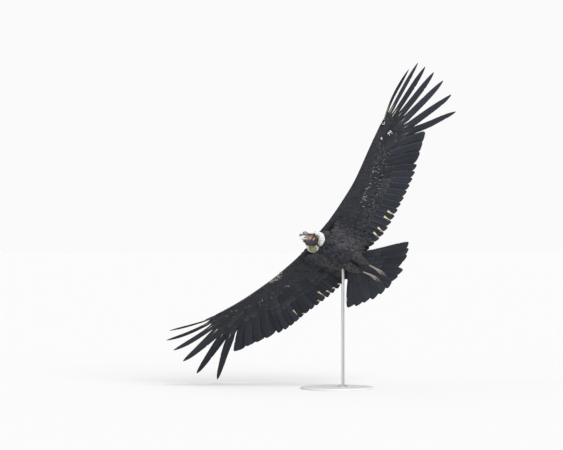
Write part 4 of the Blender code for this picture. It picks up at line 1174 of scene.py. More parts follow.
def lesser_roots(wing_name, face, edge):
    """Roots of the small coverts, row behind row from the leading edge back.

    The edge rows curve round the leading edge; the others lie along the wing.
    """
    wing = WINGS[wing_name]
    side = wing["side"]
    rng = random.Random(61 + face + 3 * side + (10 if edge else 0))
    feathers = flight_feathers(wing)
    roots = []
    for row in range(0, EDGE_ROWS) if edge else range(EDGE_ROWS - 1, LESSER_ROWS):
        c = (row / LESSER_ROWS) ** ROW_GROWTH
        step_share = ((row + 1) / LESSER_ROWS) ** ROW_GROWTH - c
        span = 0.035 + 0.007 * (row % 2)
        while span < (0.955 if edge else 0.935):
            lead = smooth_value(wing["lead"], span)
            trail = smooth_value(wing["trail"], span)
            inner = min(span, HAND_SKIN_END)
            reach = smooth_value(CORE_SHARE, inner) * (lead - trail)
            slight = 1.0 - 0.45 * smooth_share((span - 0.78) / 0.16)
            length = min(max(2.7 * step_share * reach, 0.017 if edge else 0.028), LONGEST_LESSER)
            length *= rng.uniform(0.9, 1.1)
            length *= slight
            width = length * (0.62 if edge else 0.54)
            shift = Vector((lead - smooth_value(wing["lead"], inner), (span - inner) * side,
                            wing_height(span) - wing_height(inner)))
            shares = (c, min(c + 0.02, 1.02), min(c + 0.8 * length / reach, 1.02))
            here, near, far = (core_point(wing, inner, share, face) + shift for share in shares)
            slope = (near - here if edge else far - here).normalized()
            outward = (ACROSS.cross(slope) * face).normalized()
            wx, wy = flight_way(feathers, span)
            if edge:
                wx, wy = -1.0, wy * 0.5
            way = slope * abs(wx) + Vector((0, wy * side, 0))
            way = (way - outward * way.dot(outward)).normalized()
            worn = (WORN_SHARES[0] < c < WORN_SHARES[1]
                    and WORN_SPANS[wing_name][0] < span < WORN_SPANS[wing_name][1]
                    and rng.random() < WORN_ODDS[wing_name])
            habit = (0.0, rng.uniform(0.4, 1.0) if worn and face < 0 else 0.0, 2.0)
            patch = (0.02 + 0.95 * span, 0.03 + 0.44 * c + (0.5 if face > 0 else 0.0))
            roots.append((here - outward * (0.0016 if edge else 0.0012), way, (length, width, length),
                          outward, patch, habit))
            span += width * 0.60
    return roots_object(roots)


def spot_roots(wing_name):
    """Roots of the few white feathers and worn tips under the wing, laid over the coverts there."""
    wing = WINGS[wing_name]
    side = wing["side"]
    rng = random.Random(83 + side)
    feathers = flight_feathers(wing)
    roots = []
    for x, span, radius, pale in WHITE_SPOTS[wing_name]:
        for k in range(max(int(radius * SPOT_CROWDING), 5)):
            r = radius * math.sqrt(rng.random())
            a = rng.uniform(0, 2 * math.pi)
            wx, wy = flight_way(feathers, span)
            p = wing_surface(wing, x + 0.006 + r * math.cos(a), span - 0.004 + r * math.sin(a))
            roots.append((p - UP * (SPOT_DEPTH + 0.0004 * (k % 4)),
                          Vector((wx, wy * side, 0)).normalized(),
                          (rng.uniform(0.013, 0.019), rng.uniform(0.007, 0.010), 0.005), -UP,
                          (0.02 + 0.95 * span, 0.98), (pale, 0.0, 2.0)))
    count, first, last, inner, outer = WORN_TICKS[wing_name]
    for k in range(count):
        u = rng.random()
        span = first + (last - first) * u
        wx, wy = flight_way(feathers, span)
        back = inner + (outer - inner) * u + rng.gauss(0.0, 0.028)
        p = wing_surface(wing, smooth_value(wing["lead"], span) - back, span)
        swing = rng.uniform(-0.7, 0.5)
        roots.append((p - UP * (SPOT_DEPTH + 0.0010 + 0.0003 * (k % 4)),
                      Vector((wx, (wy + swing) * side, 0)).normalized(),
                      (rng.uniform(0.014, 0.030), rng.uniform(0.006, 0.009), 0.006), -UP,
                      (0.02 + 0.95 * span, 0.96), (0.0, rng.uniform(0.5, 1.0), 2.0)))
    return roots_object(roots)


# The ruffled tuft on the right wing's leading edge: spans and how many plumes
TUFT_SPANS = (0.395, 0.495)
TUFT_PLUMES = 46


def tuft_roots():
    """Roots of loose down where the right wing's leading edge is ruffled."""
    rng = random.Random(91)
    roots = []
    for _ in range(TUFT_PLUMES):
        span = TUFT_SPANS[0] + (TUFT_SPANS[1] - TUFT_SPANS[0]) * rng.random()
        c = 0.10 * rng.random() ** 1.8
        outward = Vector((1.0 - 5 * c, 0, -0.25 - 5 * c)).normalized()
        way = outward * rng.uniform(0.6, 1.2)
        way += Vector((rng.uniform(-0.3, 0.3), rng.uniform(-0.9, 0.5), -0.1))
        long = rng.uniform(0.011, 0.024)
        roots.append((core_point(WINGS["right"], span, c, -1), way.normalized(), (long, long * 1.1, long),
                      outward, (0.02 + 0.95 * span, 0.02 + 0.3 * c), (0.0, 0.0, 0.0)))
    return roots_object(roots)


BRIDGE_ROWS = 30
BRIDGE_COLUMNS = 12


def bridge_rows(wing_name, face):
    """Curved strip that leads the body's feathers out over the wing's root, above or below."""
    wing = WINGS[wing_name]
    side = wing["side"]
    rows = []
    for k in range(BRIDGE_ROWS + 1):
        x = 0.150 - 0.375 * k / BRIDGE_ROWS
        half, top, bottom = section(TORSO, x)
        middle = (top + bottom) / 2
        span = (0.235 if face < 0 else 0.215) - 0.06 * smooth_share((k / BRIDGE_ROWS - 0.6) / 0.4)
        lead = smooth_value(wing["lead"], span)
        trail = smooth_value(wing["trail"], span)
        c = (lead - x) / (smooth_value(CORE_SHARE, span) * (lead - trail))
        if c <= 1.0:
            foot = core_point(wing, span, max(c, 0.02), face)
        else:
            foot = wing_surface(wing, x, span) + UP * (0.009 if face > 0 else -0.016)
        if face < 0:
            start = Vector((x, side * half * 0.86, middle + 0.50 * (bottom - middle)))
        else:
            start = Vector((x, side * half * 0.62, middle + 0.80 * (top - middle)))
        corner = Vector((x, side * half * (1.0 if face < 0 else 0.95), foot.z))
        bend = (corner + (start + foot) / 2) / 2
        shares = [j / BRIDGE_COLUMNS for j in range(BRIDGE_COLUMNS + 1)]
        row = [start * (1 - t) ** 2 + bend * 2 * t * (1 - t) + foot * t * t for t in shares]
        rows.append(row if side * face < 0 else row[::-1])
    return rows


def make_bridge(wing_name, face):
    """Feathers between body and wing, so that no seam shows at the shoulder and flank."""
    side = WINGS[wing_name]["side"]

    def lie(p):
        return Vector((-1.0, 0.40 * side, 0.0))

    def size(p, u):
        long = 0.036 + 0.016 * u
        return (long, long * 0.55, long)

    def habit(p):
        out = smooth_share((abs(p.y) - 0.11) / 0.10)
        return (0.0, 0.0, 1.0 if face > 0 else out)
    surface = root_surface(bridge_rows(wing_name, face), lie, size, (0.02, 0.02), (0.9, 0.9), habit)
    return lay_feathers("bridge", surface, BODY_LEAF, BELLY_COAT, lift=6, stray=10, uneven=0.18,
                        seed=31 + side + 2 * face, spacing=0.0095)


for wing_name, wing in WINGS.items():
    handed_in(make_flight_feathers(wing_name, wing), ("wing_" + wing_name,))
    handed_in(make_greater_coverts(wing_name, wing))
    handed_in(make_wing_core(wing_name, wing))
    for face, word in ((-1, "under"), (1, "upper")):
        layers = [lay_feathers("main", lesser_roots(wing_name, face, False), COVERT_LEAF, SLATE_COVERTS,
                               lift=4, stray=5, uneven=0.10, seed=70 + face),
                  lay_feathers("edge", lesser_roots(wing_name, face, True), EDGE_LEAF, SLATE_COVERTS,
                               lift=3, stray=5, uneven=0.10, seed=75 + face)]
        if face < 0:
            layers.append(lay_feathers("spots", spot_roots(wing_name), COVERT_LEAF, SLATE_COVERTS,
                                       lift=3, stray=22, uneven=0.15, seed=79))
        handed_in(joined(f"wing_{wing_name}_{word}_coverts", layers))
tuft = lay_feathers("wing_right_tuft", tuft_roots(), DOWN_TUFT, TUFT_DOWN, lift=14, stray=30, uneven=0.25,
                    seed=93)
handed_in(tuft)

# Tail


TAIL_SHAPE = [(0.0, 0.25), (0.35, 0.80), (0.7, 1.0), (0.9, 0.98), (1.0, 0.86)]
# Rows of tail coverts: reach from the fan's apex, how many, how wide
TAIL_COVERTS = ((0.37, 12, 0.046), (0.31, 11, 0.044), (0.26, 10, 0.040))


def fan_point(angle, reach):
    """Point of the tail's fan, from its apex."""
    return TAIL_APEX + Vector((-math.cos(angle), math.sin(angle), 0)) * reach


def tail_feather_spine(root, tip, drop):
    """Line of a tail feather, which sinks below its inner neighbour and arches a little."""
    def spine(u):
        p = root.lerp(tip, u)
        p.z += drop * min(max(u, 0) * 2.5, 1.0) + 0.018 * u * (1 - u)
        return p
    return spine


def tail_covert_spine(root, tip, height):
    """Line of a covert, which comes to its height off the fan half way along."""
    def spine(u):
        p = root.lerp(tip, u)
        p.z = root.z + (TAIL_APEX.z + height - root.z) * min(max(u, 0) * 2.0, 1.0)
        return p
    return spine


def make_tail():
    """The fan and its coverts on both faces."""
    rng = random.Random(21)
    book = new_book()
    middle = (TAIL_FEATHERS - 1) / 2
    for i in range(TAIL_FEATHERS):
        t = (i - middle) / middle
        angle = math.radians((TAIL_SPREAD_LEFT if t > 0 else TAIL_SPREAD_RIGHT) * t)
        reach = TAIL_MIDDLE + (TAIL_EDGE - TAIL_MIDDLE) * abs(t) ** 1.5 + rng.uniform(-0.006, 0.006)
        if i == SHORT_TAIL_FEATHER:
            reach -= 0.030
        root = Vector((-0.245, TAIL_ROOT_HALF * t, TAIL_APEX.z))
        spine = tail_feather_spine(root, fan_point(angle, reach), -0.0022 * abs(i - middle))
        splits = parted_barbs(rng, TAIL_ROWS, (1, 1, 2), (-1, 1), (0.72, 0.96), (0.12, 0.35))
        add_vane(book, spine, blade_widths(TAIL_WIDTH, TAIL_SHAPE, 0.92), TAIL_ROWS, 1 if t > 0 else -1,
                 math.radians(3.0), rng.random(), (0.02, 0.02 + 0.04 * i, 0.44, 0.034), splits=splits,
                 shear=0.34)
    row = 0
    for face in (-1, 1):
        for far, count, wide in TAIL_COVERTS:
            middle = (count - 1) / 2
            for i in range(count):
                t = (i - middle) / middle
                angle = math.radians((35 if face < 0 else 29) * t)
                reach = far if face < 0 else far - 0.05
                reach = reach + 0.02 * math.cos(angle * 2) + rng.uniform(-0.006, 0.006)
                root = Vector((-0.205, 0.036 * t, TAIL_APEX.z + face * 0.010))
                height = face * (0.012 - 0.0008 * abs(i - middle) + (0.37 - far) * 0.10)
                spine = tail_covert_spine(root, fan_point(angle, reach), height)
                add_vane(book, spine, blade_widths(wide), TAIL_COVERT_ROWS, 1 if t > 0 else -1,
                         math.radians(4.0), rng.random(),
                         (0.50 + 0.078 * row, 0.02 + 0.04 * i, 0.068, 0.034), camber=0.002 * face,
                         thick=0.0008)
            row += 1
    return close_book("tail_feathers", book, SLATE)


handed_in(make_tail(), ("tail",))


# Torso, neck and head skin


def torso_ring(x, inset, count):
    """Section of the torso, drawn in by an inset."""
    half, top, bottom = section(TORSO, x)
    return upright_ring(x, half - inset, top - inset, bottom + inset, count, 2.15)


def thigh_ring(u, side, inset, count):
    """Section of a thigh at a share of its length, drawn in by an inset."""
    p = along_line([place for place, _ in THIGH], u)
    r = along_line([radius for _, radius in THIGH], u) - inset
    centre = Vector((p.x, p.y * side + LEG_SHIFT, p.z))
    return oval_ring(centre, ACROSS, UP, r, r * 0.8, -r * 0.8, count)


def neck_point(u):
    return along_line([place for place, _ in NECK], u)


def neck_radius(u):
    return along_line([radius for _, radius in NECK], u)


def neck_frame(u):
    """Directions along, to the left of and above the neck."""
    along = (neck_point(min(u + 0.03, 1)) - neck_point(max(u - 0.03, 0))).normalized()
    left = UP.cross(along).normalized()
    return along, left, along.cross(left)


def body_shapes():
    """Torso and thighs, drawn in by the depth of their feathers."""
    shapes = [loft_shape([torso_ring(0.206 - 0.53 * k / 40, BODY_COAT, 40) for k in range(41)])]
    for side in (1, -1):
        shapes.append(loft_shape([thigh_ring(k / 14, side, BODY_COAT * 0.5, 24) for k in range(15)]))
    return shapes


# Soft bulges of the head, as place in its own frame and half sizes: under the bill, then on both sides
CHIN_FOLDS = (
    ((-0.004, 0, -0.034), (0.034, 0.0065, 0.013)),
    ((0.016, 0, -0.041), (0.041, 0.0185, 0.024)),
    ((0.051, 0, -0.029), (0.024, 0.0105, 0.011)),
    ((0.044, 0, -0.040), (0.015, 0.0100, 0.014)),
)
NAPE_FOLD = ((-0.030, 0, 0.026), (0.026, 0.007, 0.0065))
SIDE_FOLDS = (
    ((-0.046, 0.019, 0.016), (0.006, 0.0055, 0.013)),
    ((-0.040, 0.024, -0.014), (0.010, 0.0065, 0.016)),
    ((-0.030, 0.0265, -0.010), (0.009, 0.0045, 0.014)),
    ((0.008, 0.0205, 0.0185), (0.016, 0.0050, 0.0042)),
    ((-0.006, 0.0255, -0.016), (0.013, 0.0035, 0.007)),
)
WATTLE_LOBES = 7
NECK_FOLDS = 9.5


def head_shapes():
    """Skull, cheeks, folds, wattles and the neck, all overlapping, in the bird's frame."""
    count = 24
    rings = []
    for i in range(count + 1):
        x = SKULL[0][0] + (SKULL[-1][0] - SKULL[0][0]) * (0.5 - 0.5 * math.cos(math.pi * i / count))
        rings.append(upright_ring(x, *section(SKULL, x), 28, 2.2))
    balls = list(CHIN_FOLDS)
    for k in range(WATTLE_LOBES):
        place = (-0.020 + 0.012 * k, 0.0015 * (-1) ** k, -0.058 + 0.0012 * (k - 3) ** 2)
        balls.append((place, (0.0052, 0.0125, 0.0095)))
    balls.append(NAPE_FOLD)
    balls += [((x, y * s, z), size) for s in (1, -1) for (x, y, z), size in SIDE_FOLDS]
    shapes = on_head([loft_shape(rings)] + [ball_shape(Vector(place), size) for place, size in balls])
    rings = []
    for i in range(61):
        u = i / 60
        _, left, above = neck_frame(u)
        fold = 0.0013 * math.cos(2 * math.pi * NECK_FOLDS * u) * min(max((u - 0.25) / 0.1, 0), 1)
        r = neck_radius(u) + fold
        rings.append(oval_ring(neck_point(u), left, above, r, r * 1.02, -r * 1.06, 36))
    return shapes + [loft_shape(rings)]


WRINKLES = 190
EAR_X = -0.024
EAR_Z = 0.002
MOUTH_BACK = 0.008
MOUTH_FRONT = 0.062


def bell(distance, width):
    """A soft bump of height 1 round zero."""
    return math.exp(-(distance / width) ** 2)


def shape_head_details(obj):
    """Sockets, ears, mouth line and wrinkles pressed into the head's skin."""
    forth = FLIGHT @ HEAD
    back = forth.inverted()
    rng = random.Random(91)
    wrinkles = []
    for _ in range(WRINKLES):
        place = Vector((rng.uniform(-0.06, 0.06), rng.choice((-1, 1)) * rng.uniform(0.008, 0.03),
                        rng.uniform(-0.060, 0.03)))
        way = Vector((rng.uniform(-0.4, 0.4), 0, 1)).normalized()
        wrinkles.append((place, way, rng.uniform(0.004, 0.011), rng.uniform(0.0010, 0.0018),
                         rng.uniform(-0.0007, 0.0005)))
    mesh = obj.data
    for v in mesh.vertices:
        p = back @ v.co
        if p.x < -0.085:
            continue
        side = 1 if p.y > 0 else -1
        move = Vector((0, 0, 0))
        if p.y * side > 0.008:
            gap = Vector((p.x - EYE_PLACE.x, (p.z - EYE_PLACE.z) * 1.15)).length
            socket = smooth_share((0.0112 - gap) / 0.004)
            move.y += side * (-0.0042 * socket + 0.0013 * bell(gap - 0.0098, 0.0016)
                              + 0.0006 * bell(gap - 0.0135, 0.0012))
            ear = Vector((p.x - EAR_X, (p.z - EAR_Z) * 0.8)).length
            move.y += side * (-0.0055 * smooth_share((0.0058 - ear) / 0.004)
                              + 0.0011 * bell(ear - 0.0068, 0.0015))
            over = p.z - (-0.0065 - 0.05 * (0.040 - min(p.x, 0.040)))
            if MOUTH_BACK < p.x < MOUTH_FRONT:
                share = smooth_share((p.x - MOUTH_BACK) / 0.012)
                move.y += side * (-0.0020 * share * bell(over, 0.0011)
                                  + 0.0009 * share * bell(over - 0.0030, 0.0013)
                                  + 0.0007 * share * bell(over + 0.0030, 0.0013))
        for place, way, long, wide, deep in wrinkles:
            d = p - place
            if abs(d.y) > 0.012 or d.length_squared > 0.0004:
                continue
            run = d.dot(way)
            off = (d - way * run)
            off.y = 0
            move += Vector((0, side, 0)) * deep * math.exp(-(run / long) ** 2 - (off.length / wide) ** 2)
        v.co = forth @ (p + move)
    mesh.update()


def pebbled(obj, name, size, depth):
    """Fine knobbly skin, pushed out by a cloud texture."""
    texture = bpy.data.textures.new(name, "CLOUDS")
    texture.noise_scale = size
    texture.noise_depth = 2
    push = obj.modifiers.new("pebbles", "DISPLACE")
    push.texture = texture
    push.strength = depth
    push.mid_level = 0.5
    push.texture_coords = "LOCAL"
    finish_modifiers(obj)


def head_place(x, y, z):
    """A point of the head's own frame, in the part's frame."""
    return tuple(FLIGHT @ HEAD @ Vector((x, y, z)))


# Colour places on the bare head, for both sides, some of them painted shade and one a painted highlight:
# place in the head's frame, radius, colour, strength
FACE_COLOURS = (
    ((0.026, 0.020, -0.008), 0.027, (0.34, 0.24, 0.20), 0.85),
    ((0.042, 0.016, -0.012), 0.011, (0.60, 0.50, 0.43), 0.85),
    ((0.016, 0.022, -0.016), 0.009, (0.58, 0.44, 0.36), 0.8),
    ((0.030, 0.020, -0.016), 0.006, (0.16, 0.055, 0.055), 0.8),
    ((0.052, 0.014, -0.004), 0.006, (0.15, 0.06, 0.06), 0.8),
    ((0.054, 0.014, 0.006), 0.010, (0.50, 0.54, 0.55), 0.85),
    # pinkish skin behind the eye, lightened as a painted highlight
    ((-0.003, 0.024, 0.004), 0.007, (0.50, 0.33, 0.33), 0.8),
    ((-0.013, 0.026, -0.034), 0.0140, (0.66, 0.42, 0.21), 0.95),
    ((-0.019, 0.027, -0.024), 0.008, (0.70, 0.50, 0.28), 0.8),
    # painted shade: near-black in the hollow behind the orange patch
    ((-0.033, 0.026, -0.006), 0.006, (0.020, 0.010, 0.010), 0.9),
    ((-0.052, 0.018, 0.004), 0.018, (0.060, 0.020, 0.024), 0.85),
    # the next three: dark maroon crown skin beside the comb's foot, partly painted shade under the comb
    ((0.022, 0.012, 0.026), 0.015, (0.075, 0.022, 0.030), 0.9),
    ((0.052, 0.006, 0.019), 0.012, (0.060, 0.020, 0.026), 0.9),
    ((-0.010, 0.012, 0.028), 0.018, (0.090, 0.040, 0.042), 0.8),
    ((0.040, 0.010, -0.033), 0.008, (0.030, 0.018, 0.018), 0.85),
)
# dark throat skin under the head, deepened there as painted shade
THROAT_PLACE = (0.014, 0.0, -0.066)
THROAT_REACH = 0.044
THROAT_SKIN_AND_SHADE = (0.024, 0.027, 0.034)


def skin_finish():
    """Bare skin: grey-black with the face's patches, some of them painted shade and one a painted
    highlight, a dark throat deepened by painted shade, and fine creases darkened by painted shade.
    """
    mat, tree = new_material("bare wrinkled skin")
    blotch = noise(tree, 90.0, 5.0, 0.65)
    blotched = band(tree, blotch, 0.35, 0.7)
    colour = blend_colour(tree, blotched, (0.034, 0.030, 0.034), (0.085, 0.062, 0.058))
    for (x, y, z), radius, tint, strength in FACE_COLOURS:
        for side in (1, -1):
            colour = dab(tree, colour, head_place(x, y * side, z), radius, strength, tint,
                         softness=0.006, ragged=0.010)
    # the dark throat: dark skin, partly painted shade under the head
    colour = dab(tree, colour, head_place(*THROAT_PLACE), THROAT_REACH, 0.92, THROAT_SKIN_AND_SHADE,
                 softness=0.012, ragged=0.010)
    fine = noise(tree, 420.0, 3.0, 0.6)
    colour = blend_colour(tree, scaled(tree, fine, 0.5, 0.1), colour, (0.030, 0.018, 0.018))
    bent = put(tree, "ShaderNodeVectorMath", {0: noise(tree, 220.0, 3.0), 1: (0.004, 0.004, 0.004),
                                              2: object_place(tree)}, operation="MULTIPLY_ADD")
    groove = band(tree, cells(tree, 560.0, bent.outputs[0], "DISTANCE_TO_EDGE"), 0.0, 0.22)
    # painted shade: the colour darkens in the fine creases
    colour = blend_colour(tree, scaled(tree, groove, -0.22, 0.22), colour, (0.02, 0.014, 0.014))
    height = scaled(tree, noise(tree, 260.0, 4.0), 0.9, times(tree, groove, 0.4))
    return finished(mat, {"Base Color": colour, "Roughness": scaled(tree, blotch, 0.25, 0.42),
                          "Subsurface Weight": 0.05, "Subsurface Radius": (0.003, 0.0015, 0.001),
                          "Specular IOR Level": 0.3}, height, strength=0.6, depth=0.0006)


def under_skin_finish():
    """Skin and short down between the body feathers, kept in their colour."""
    mat, tree = new_material("skin under the feathers")
    mottle = noise(tree, 40.0, 5.0, 0.6)
    colour = blend_colour(tree, mottle, (0.030, 0.027, 0.027), (0.070, 0.062, 0.060))
    return finished(mat, {"Base Color": colour, "Roughness": 0.85}, noise(tree, 300.0, 4.0),
                    strength=0.6, depth=0.001)


body = dressed(blended("body", body_shapes(), voxel=0.005, rounds=6), under_skin_finish())
head = blended("head_and_neck", head_shapes(), voxel=0.00125, rounds=3)
shape_head_details(head)
pebbled(head, "skin pebbles", size=0.006, depth=0.0009)
skin = joined("skin", [dressed(head, skin_finish()), body])
skin.data.shade_smooth()
handed_in(skin, ("torso", "neck", "head", "leg_left", "leg_right"))

# Body feathers


def backwards(p):
    """The way that body feathers lie: to the tail and a little outward."""
    return Vector((-1.0, 0.10 * (1 if p.y > 0 else -1), 0.0))


def flank_share(p):
    """How far a body feather has turned from the flank's grey to the belly line's and back's slate. The
    paler flanks are partly painted light from above, and the darker belly line is partly painted shade.
    """
    centre = 1.0 - smooth_share((abs(p.y) - 0.020) / 0.085)
    return (0.0, 0.0, max(0.9 * centre, smooth_share(p.z / 0.06)))


def closed_rows(rings):
    """Rings whose first point comes again at the end."""
    return [ring + [ring[0]] for ring in rings]


def make_body_coat():
    """The torso's feathers."""
    rows = closed_rows(torso_ring(0.204 - 0.524 * k / 60, BODY_COAT * 0.9, 48) for k in range(61))

    def size(p, u):
        back = p.z > 0.02
        long = (0.030 + 0.012 * math.sin(math.pi * u)) * (0.9 if back else 1.0)
        return (long, long * 0.60, long)
    surface = root_surface(rows, backwards, size, (0.02, 0.02), (0.60, 0.96), flank_share)
    return lay_feathers("torso_feathers", surface, BODY_LEAF, BELLY_COAT, lift=9, stray=14, uneven=0.18,
                        seed=5, spacing=0.0088)


def make_thigh_coat(side):
    """One thigh's feathers."""
    rows = closed_rows(thigh_ring(0.03 + 0.95 * k / 30, side, BODY_COAT * 0.45, 24) for k in range(31))

    def size(p, u):
        return (0.026, 0.015, 0.026)
    corner = (0.66, 0.02 if side > 0 else 0.52)
    surface = root_surface(rows, backwards, size, corner, (0.3, 0.45))
    return lay_feathers("thigh", surface, BODY_LEAF, BELLY_COAT, lift=8, stray=12, uneven=0.18,
                        seed=6 + side, spacing=0.0078)


coat = joined("body_feathers", [make_body_coat(), make_thigh_coat(1), make_thigh_coat(-1)])
handed_in(coat)
for wing_name in WINGS:
    bridges = [make_bridge(wing_name, face) for face in (-1, 1)]
    handed_in(joined("wing_%s_root_feathers" % wing_name, bridges))

# Ruff


RUFF_STEPS = 48
RUFF_SIDES = 24


def ruff_ring(angle, r):
    """One section of the collar: angle 0 is the throat, 90 degrees the left side."""
    along, left, above = neck_frame(RUFF_AT)
    out = left * math.sin(angle) - above * math.cos(angle)
    right_throat = bell(math.degrees(angle) - 310, 32)
    left_throat = bell(math.degrees(angle) - 66, 45)
    reach = RUFF_MAJOR + 0.016 * right_throat + 0.014 * left_throat
    place = neck_point(RUFF_AT) + along * RUFF_FORWARD + out * reach
    ring = []
    for k in range(RUFF_SIDES):
        a = 2 * math.pi * k / RUFF_SIDES
        ring.append(place + out * r * math.cos(a) + along * r * 1.1 * math.sin(a))
    return ring


def ruff_taper(u):
    """The collar thins towards its two ends."""
    return min(1.0, 0.45 + 3.0 * min(u, 1 - u))


def make_ruff():
    """The collar's core and its thick down, open at the throat."""
    start = math.radians(RUFF_OPEN / 2)
    rings = []
    for i in range(RUFF_STEPS + 1):
        u = i / RUFF_STEPS
        angle = start + (2 * math.pi - 2 * start) * u
        lump = 1 + 0.08 * math.sin(9 * angle) + 0.05 * math.sin(23 * angle)
        r = RUFF_MINOR * ruff_taper(u) * lump
        rings.append(ruff_ring(angle, r * 0.92))
    verts, faces = loft_shape(rings)
    core = dressed(new_piece("ruff_core", verts, faces), DOWN)
    vector_attribute(core.data, "vane", [(0.6, 0.0, 0.5)] * len(verts))
    along = neck_frame(RUFF_AT)[0]
    centre = neck_point(RUFF_AT)

    def lie(p):
        out = p - centre
        out = (out - along * out.dot(along)).normalized()
        return out * 0.65 - along * 0.75

    def size(p, u):
        return (0.021, 0.021, 0.021)
    surface = root_surface(closed_rows(rings), lie, size, (0.02, 0.02), (0.95, 0.95))
    coat = lay_feathers("ruff_down", surface, DOWN_TUFT, DOWN, lift=13, stray=42, uneven=0.30, seed=9,
                        spacing=0.0024)
    return core, coat


ruff_core, ruff_coat = make_ruff()
handed_in(ruff_core)
handed_in(ruff_coat, ("ruff",))

# Comb and bill


def comb_finish():
    """Pebbled grey flesh, dark red where it stands on the skull; that dark red is partly painted shade
    under the comb.
    """
    mat, tree = new_material("pebbled grey comb")
    blotch = noise(tree, 105.0, 4.0, 0.6)
    blotched = band(tree, blotch, 0.36, 0.62)
    colour = blend_colour(tree, blotched, (0.035, 0.031, 0.038), (0.32, 0.31, 0.33))
    # dark red at the comb's foot: partly its own colour, partly painted shade under the comb
    for x in (0.005, 0.025, 0.045, 0.065):
        place = head_place(x, 0, COMB_FOOT - 0.002)
        colour = dab(tree, colour, place, 0.013, 0.8, (0.055, 0.022, 0.030), softness=0.006, ragged=0.006)
    return finished(mat, {"Base Color": colour, "Roughness": scaled(tree, blotch, 0.25, 0.40),
                          "Subsurface Weight": 0.06, "Subsurface Radius": (0.003, 0.002, 0.002)},
                    cells(tree, 520.0, object_place(tree)), strength=0.7, depth=0.0007, invert=True)


# Colours on the horn: forward places with heights and reaches, strength, colour, softness, raggedness
HORN_COLOURS = (
    (((0.050, 0.002, 0.019),), 0.85, (0.40, 0.46, 0.48), 0.008, 0.006),
    (((0.048, -0.022, 0.012), (0.062, -0.022, 0.010), (0.075, -0.022, 0.008), (0.086, -0.022, 0.005)),
     0.85, (0.09, 0.095, 0.08), 0.006, 0.004),
    (((0.052, 0.013, 0.011), (0.062, 0.013, 0.011), (0.072, 0.012, 0.011), (0.080, 0.010, 0.011)),
     0.9, (0.075, 0.040, 0.045), 0.004, 0.004),
)


def horn_finish():
    """Ivory with a pale blue root, a dark lower edge and a dark ridge."""
    mat, tree = new_material("ivory horn")
    cloud = noise(tree, 90.0, 4.0)
    colour = blend_colour(tree, cloud, (0.60, 0.56, 0.47), (0.78, 0.75, 0.68))
    for spots, *paint in HORN_COLOURS:
        for x, z, reach in spots:
            colour = dab(tree, colour, head_place(x, 0, z), reach, *paint)
    return finished(mat, {"Base Color": colour, "Roughness": scaled(tree, cloud, 0.2, 0.22),
                          "Subsurface Weight": 0.15, "Subsurface Radius": (0.004, 0.003, 0.002)},
                    stretched_noise(tree, 300.0, (0.3, 0.3, 1.6)), strength=0.25, depth=0.0004)


HORN = horn_finish()

# Height of the comb over its foot, along the head, and its bulbs: forward place, height, radius
COMB_RISE = [(-0.014, 0.010), (-0.004, 0.024), (0.010, 0.033), (0.026, 0.036), (0.040, 0.031),
             (0.052, 0.020), (0.064, 0.0185), (0.078, 0.0165), (0.090, 0.007)]
COMB_BULBS = [(0.076, 0.0080, 0.0108), (0.060, 0.0095, 0.0088), (0.036, 0.0235, 0.0105),
              (0.018, 0.0270, 0.0100), (0.000, 0.0180, 0.0085)]


COMB_STEPS = 28
COMB_WARTS = 46


def make_comb():
    """The lobed comb: a low bulb over the bill, then a taller arch, all over small warts."""
    rng = random.Random(77)
    rings = []
    for i in range(COMB_STEPS + 1):
        u = i / COMB_STEPS
        x = COMB_FRONT + (COMB_BACK - COMB_FRONT) * u
        w = COMB_HALF_WIDTH * math.sin(math.pi * (0.12 + 0.76 * u)) ** 0.5
        foot = Vector((x, 0, COMB_FOOT))
        rings.append(oval_ring(foot, ACROSS, UP, w, smooth_value(COMB_RISE, x), -0.006, 20))
    shapes = [loft_shape(rings)]
    for k, (x, height, r) in enumerate(COMB_BULBS):
        shapes.append(ball_shape(Vector((x, 0.0008 * (-1) ** k, COMB_FOOT + height)),
                                 (r * 1.2, COMB_HALF_WIDTH * 1.15, r)))
    for _ in range(COMB_WARTS):
        x = COMB_FRONT + (COMB_BACK - COMB_FRONT) * rng.uniform(0.05, 0.95)
        v = rng.uniform(0.15, 0.95)
        r = rng.uniform(0.0016, 0.0032)
        y = rng.choice((-1, 1)) * COMB_HALF_WIDTH * math.sqrt(1 - v * v * 0.9) * 0.88
        place = Vector((x, y, COMB_FOOT + smooth_value(COMB_RISE, x) * v))
        shapes.append(ball_shape(place, (r * 1.2, r, r), 10, 8))
    obj = blended("comb_flesh", on_head(shapes), voxel=0.0009, rounds=3)
    pebbled(obj, "comb pebbles", size=0.004, depth=0.0008)
    return dressed(obj, comb_finish())


BILL_STEPS = 36
BILL_ROOT = 0.045
NOSTRIL_X = 0.064
NOSTRIL_Z = 0.0050


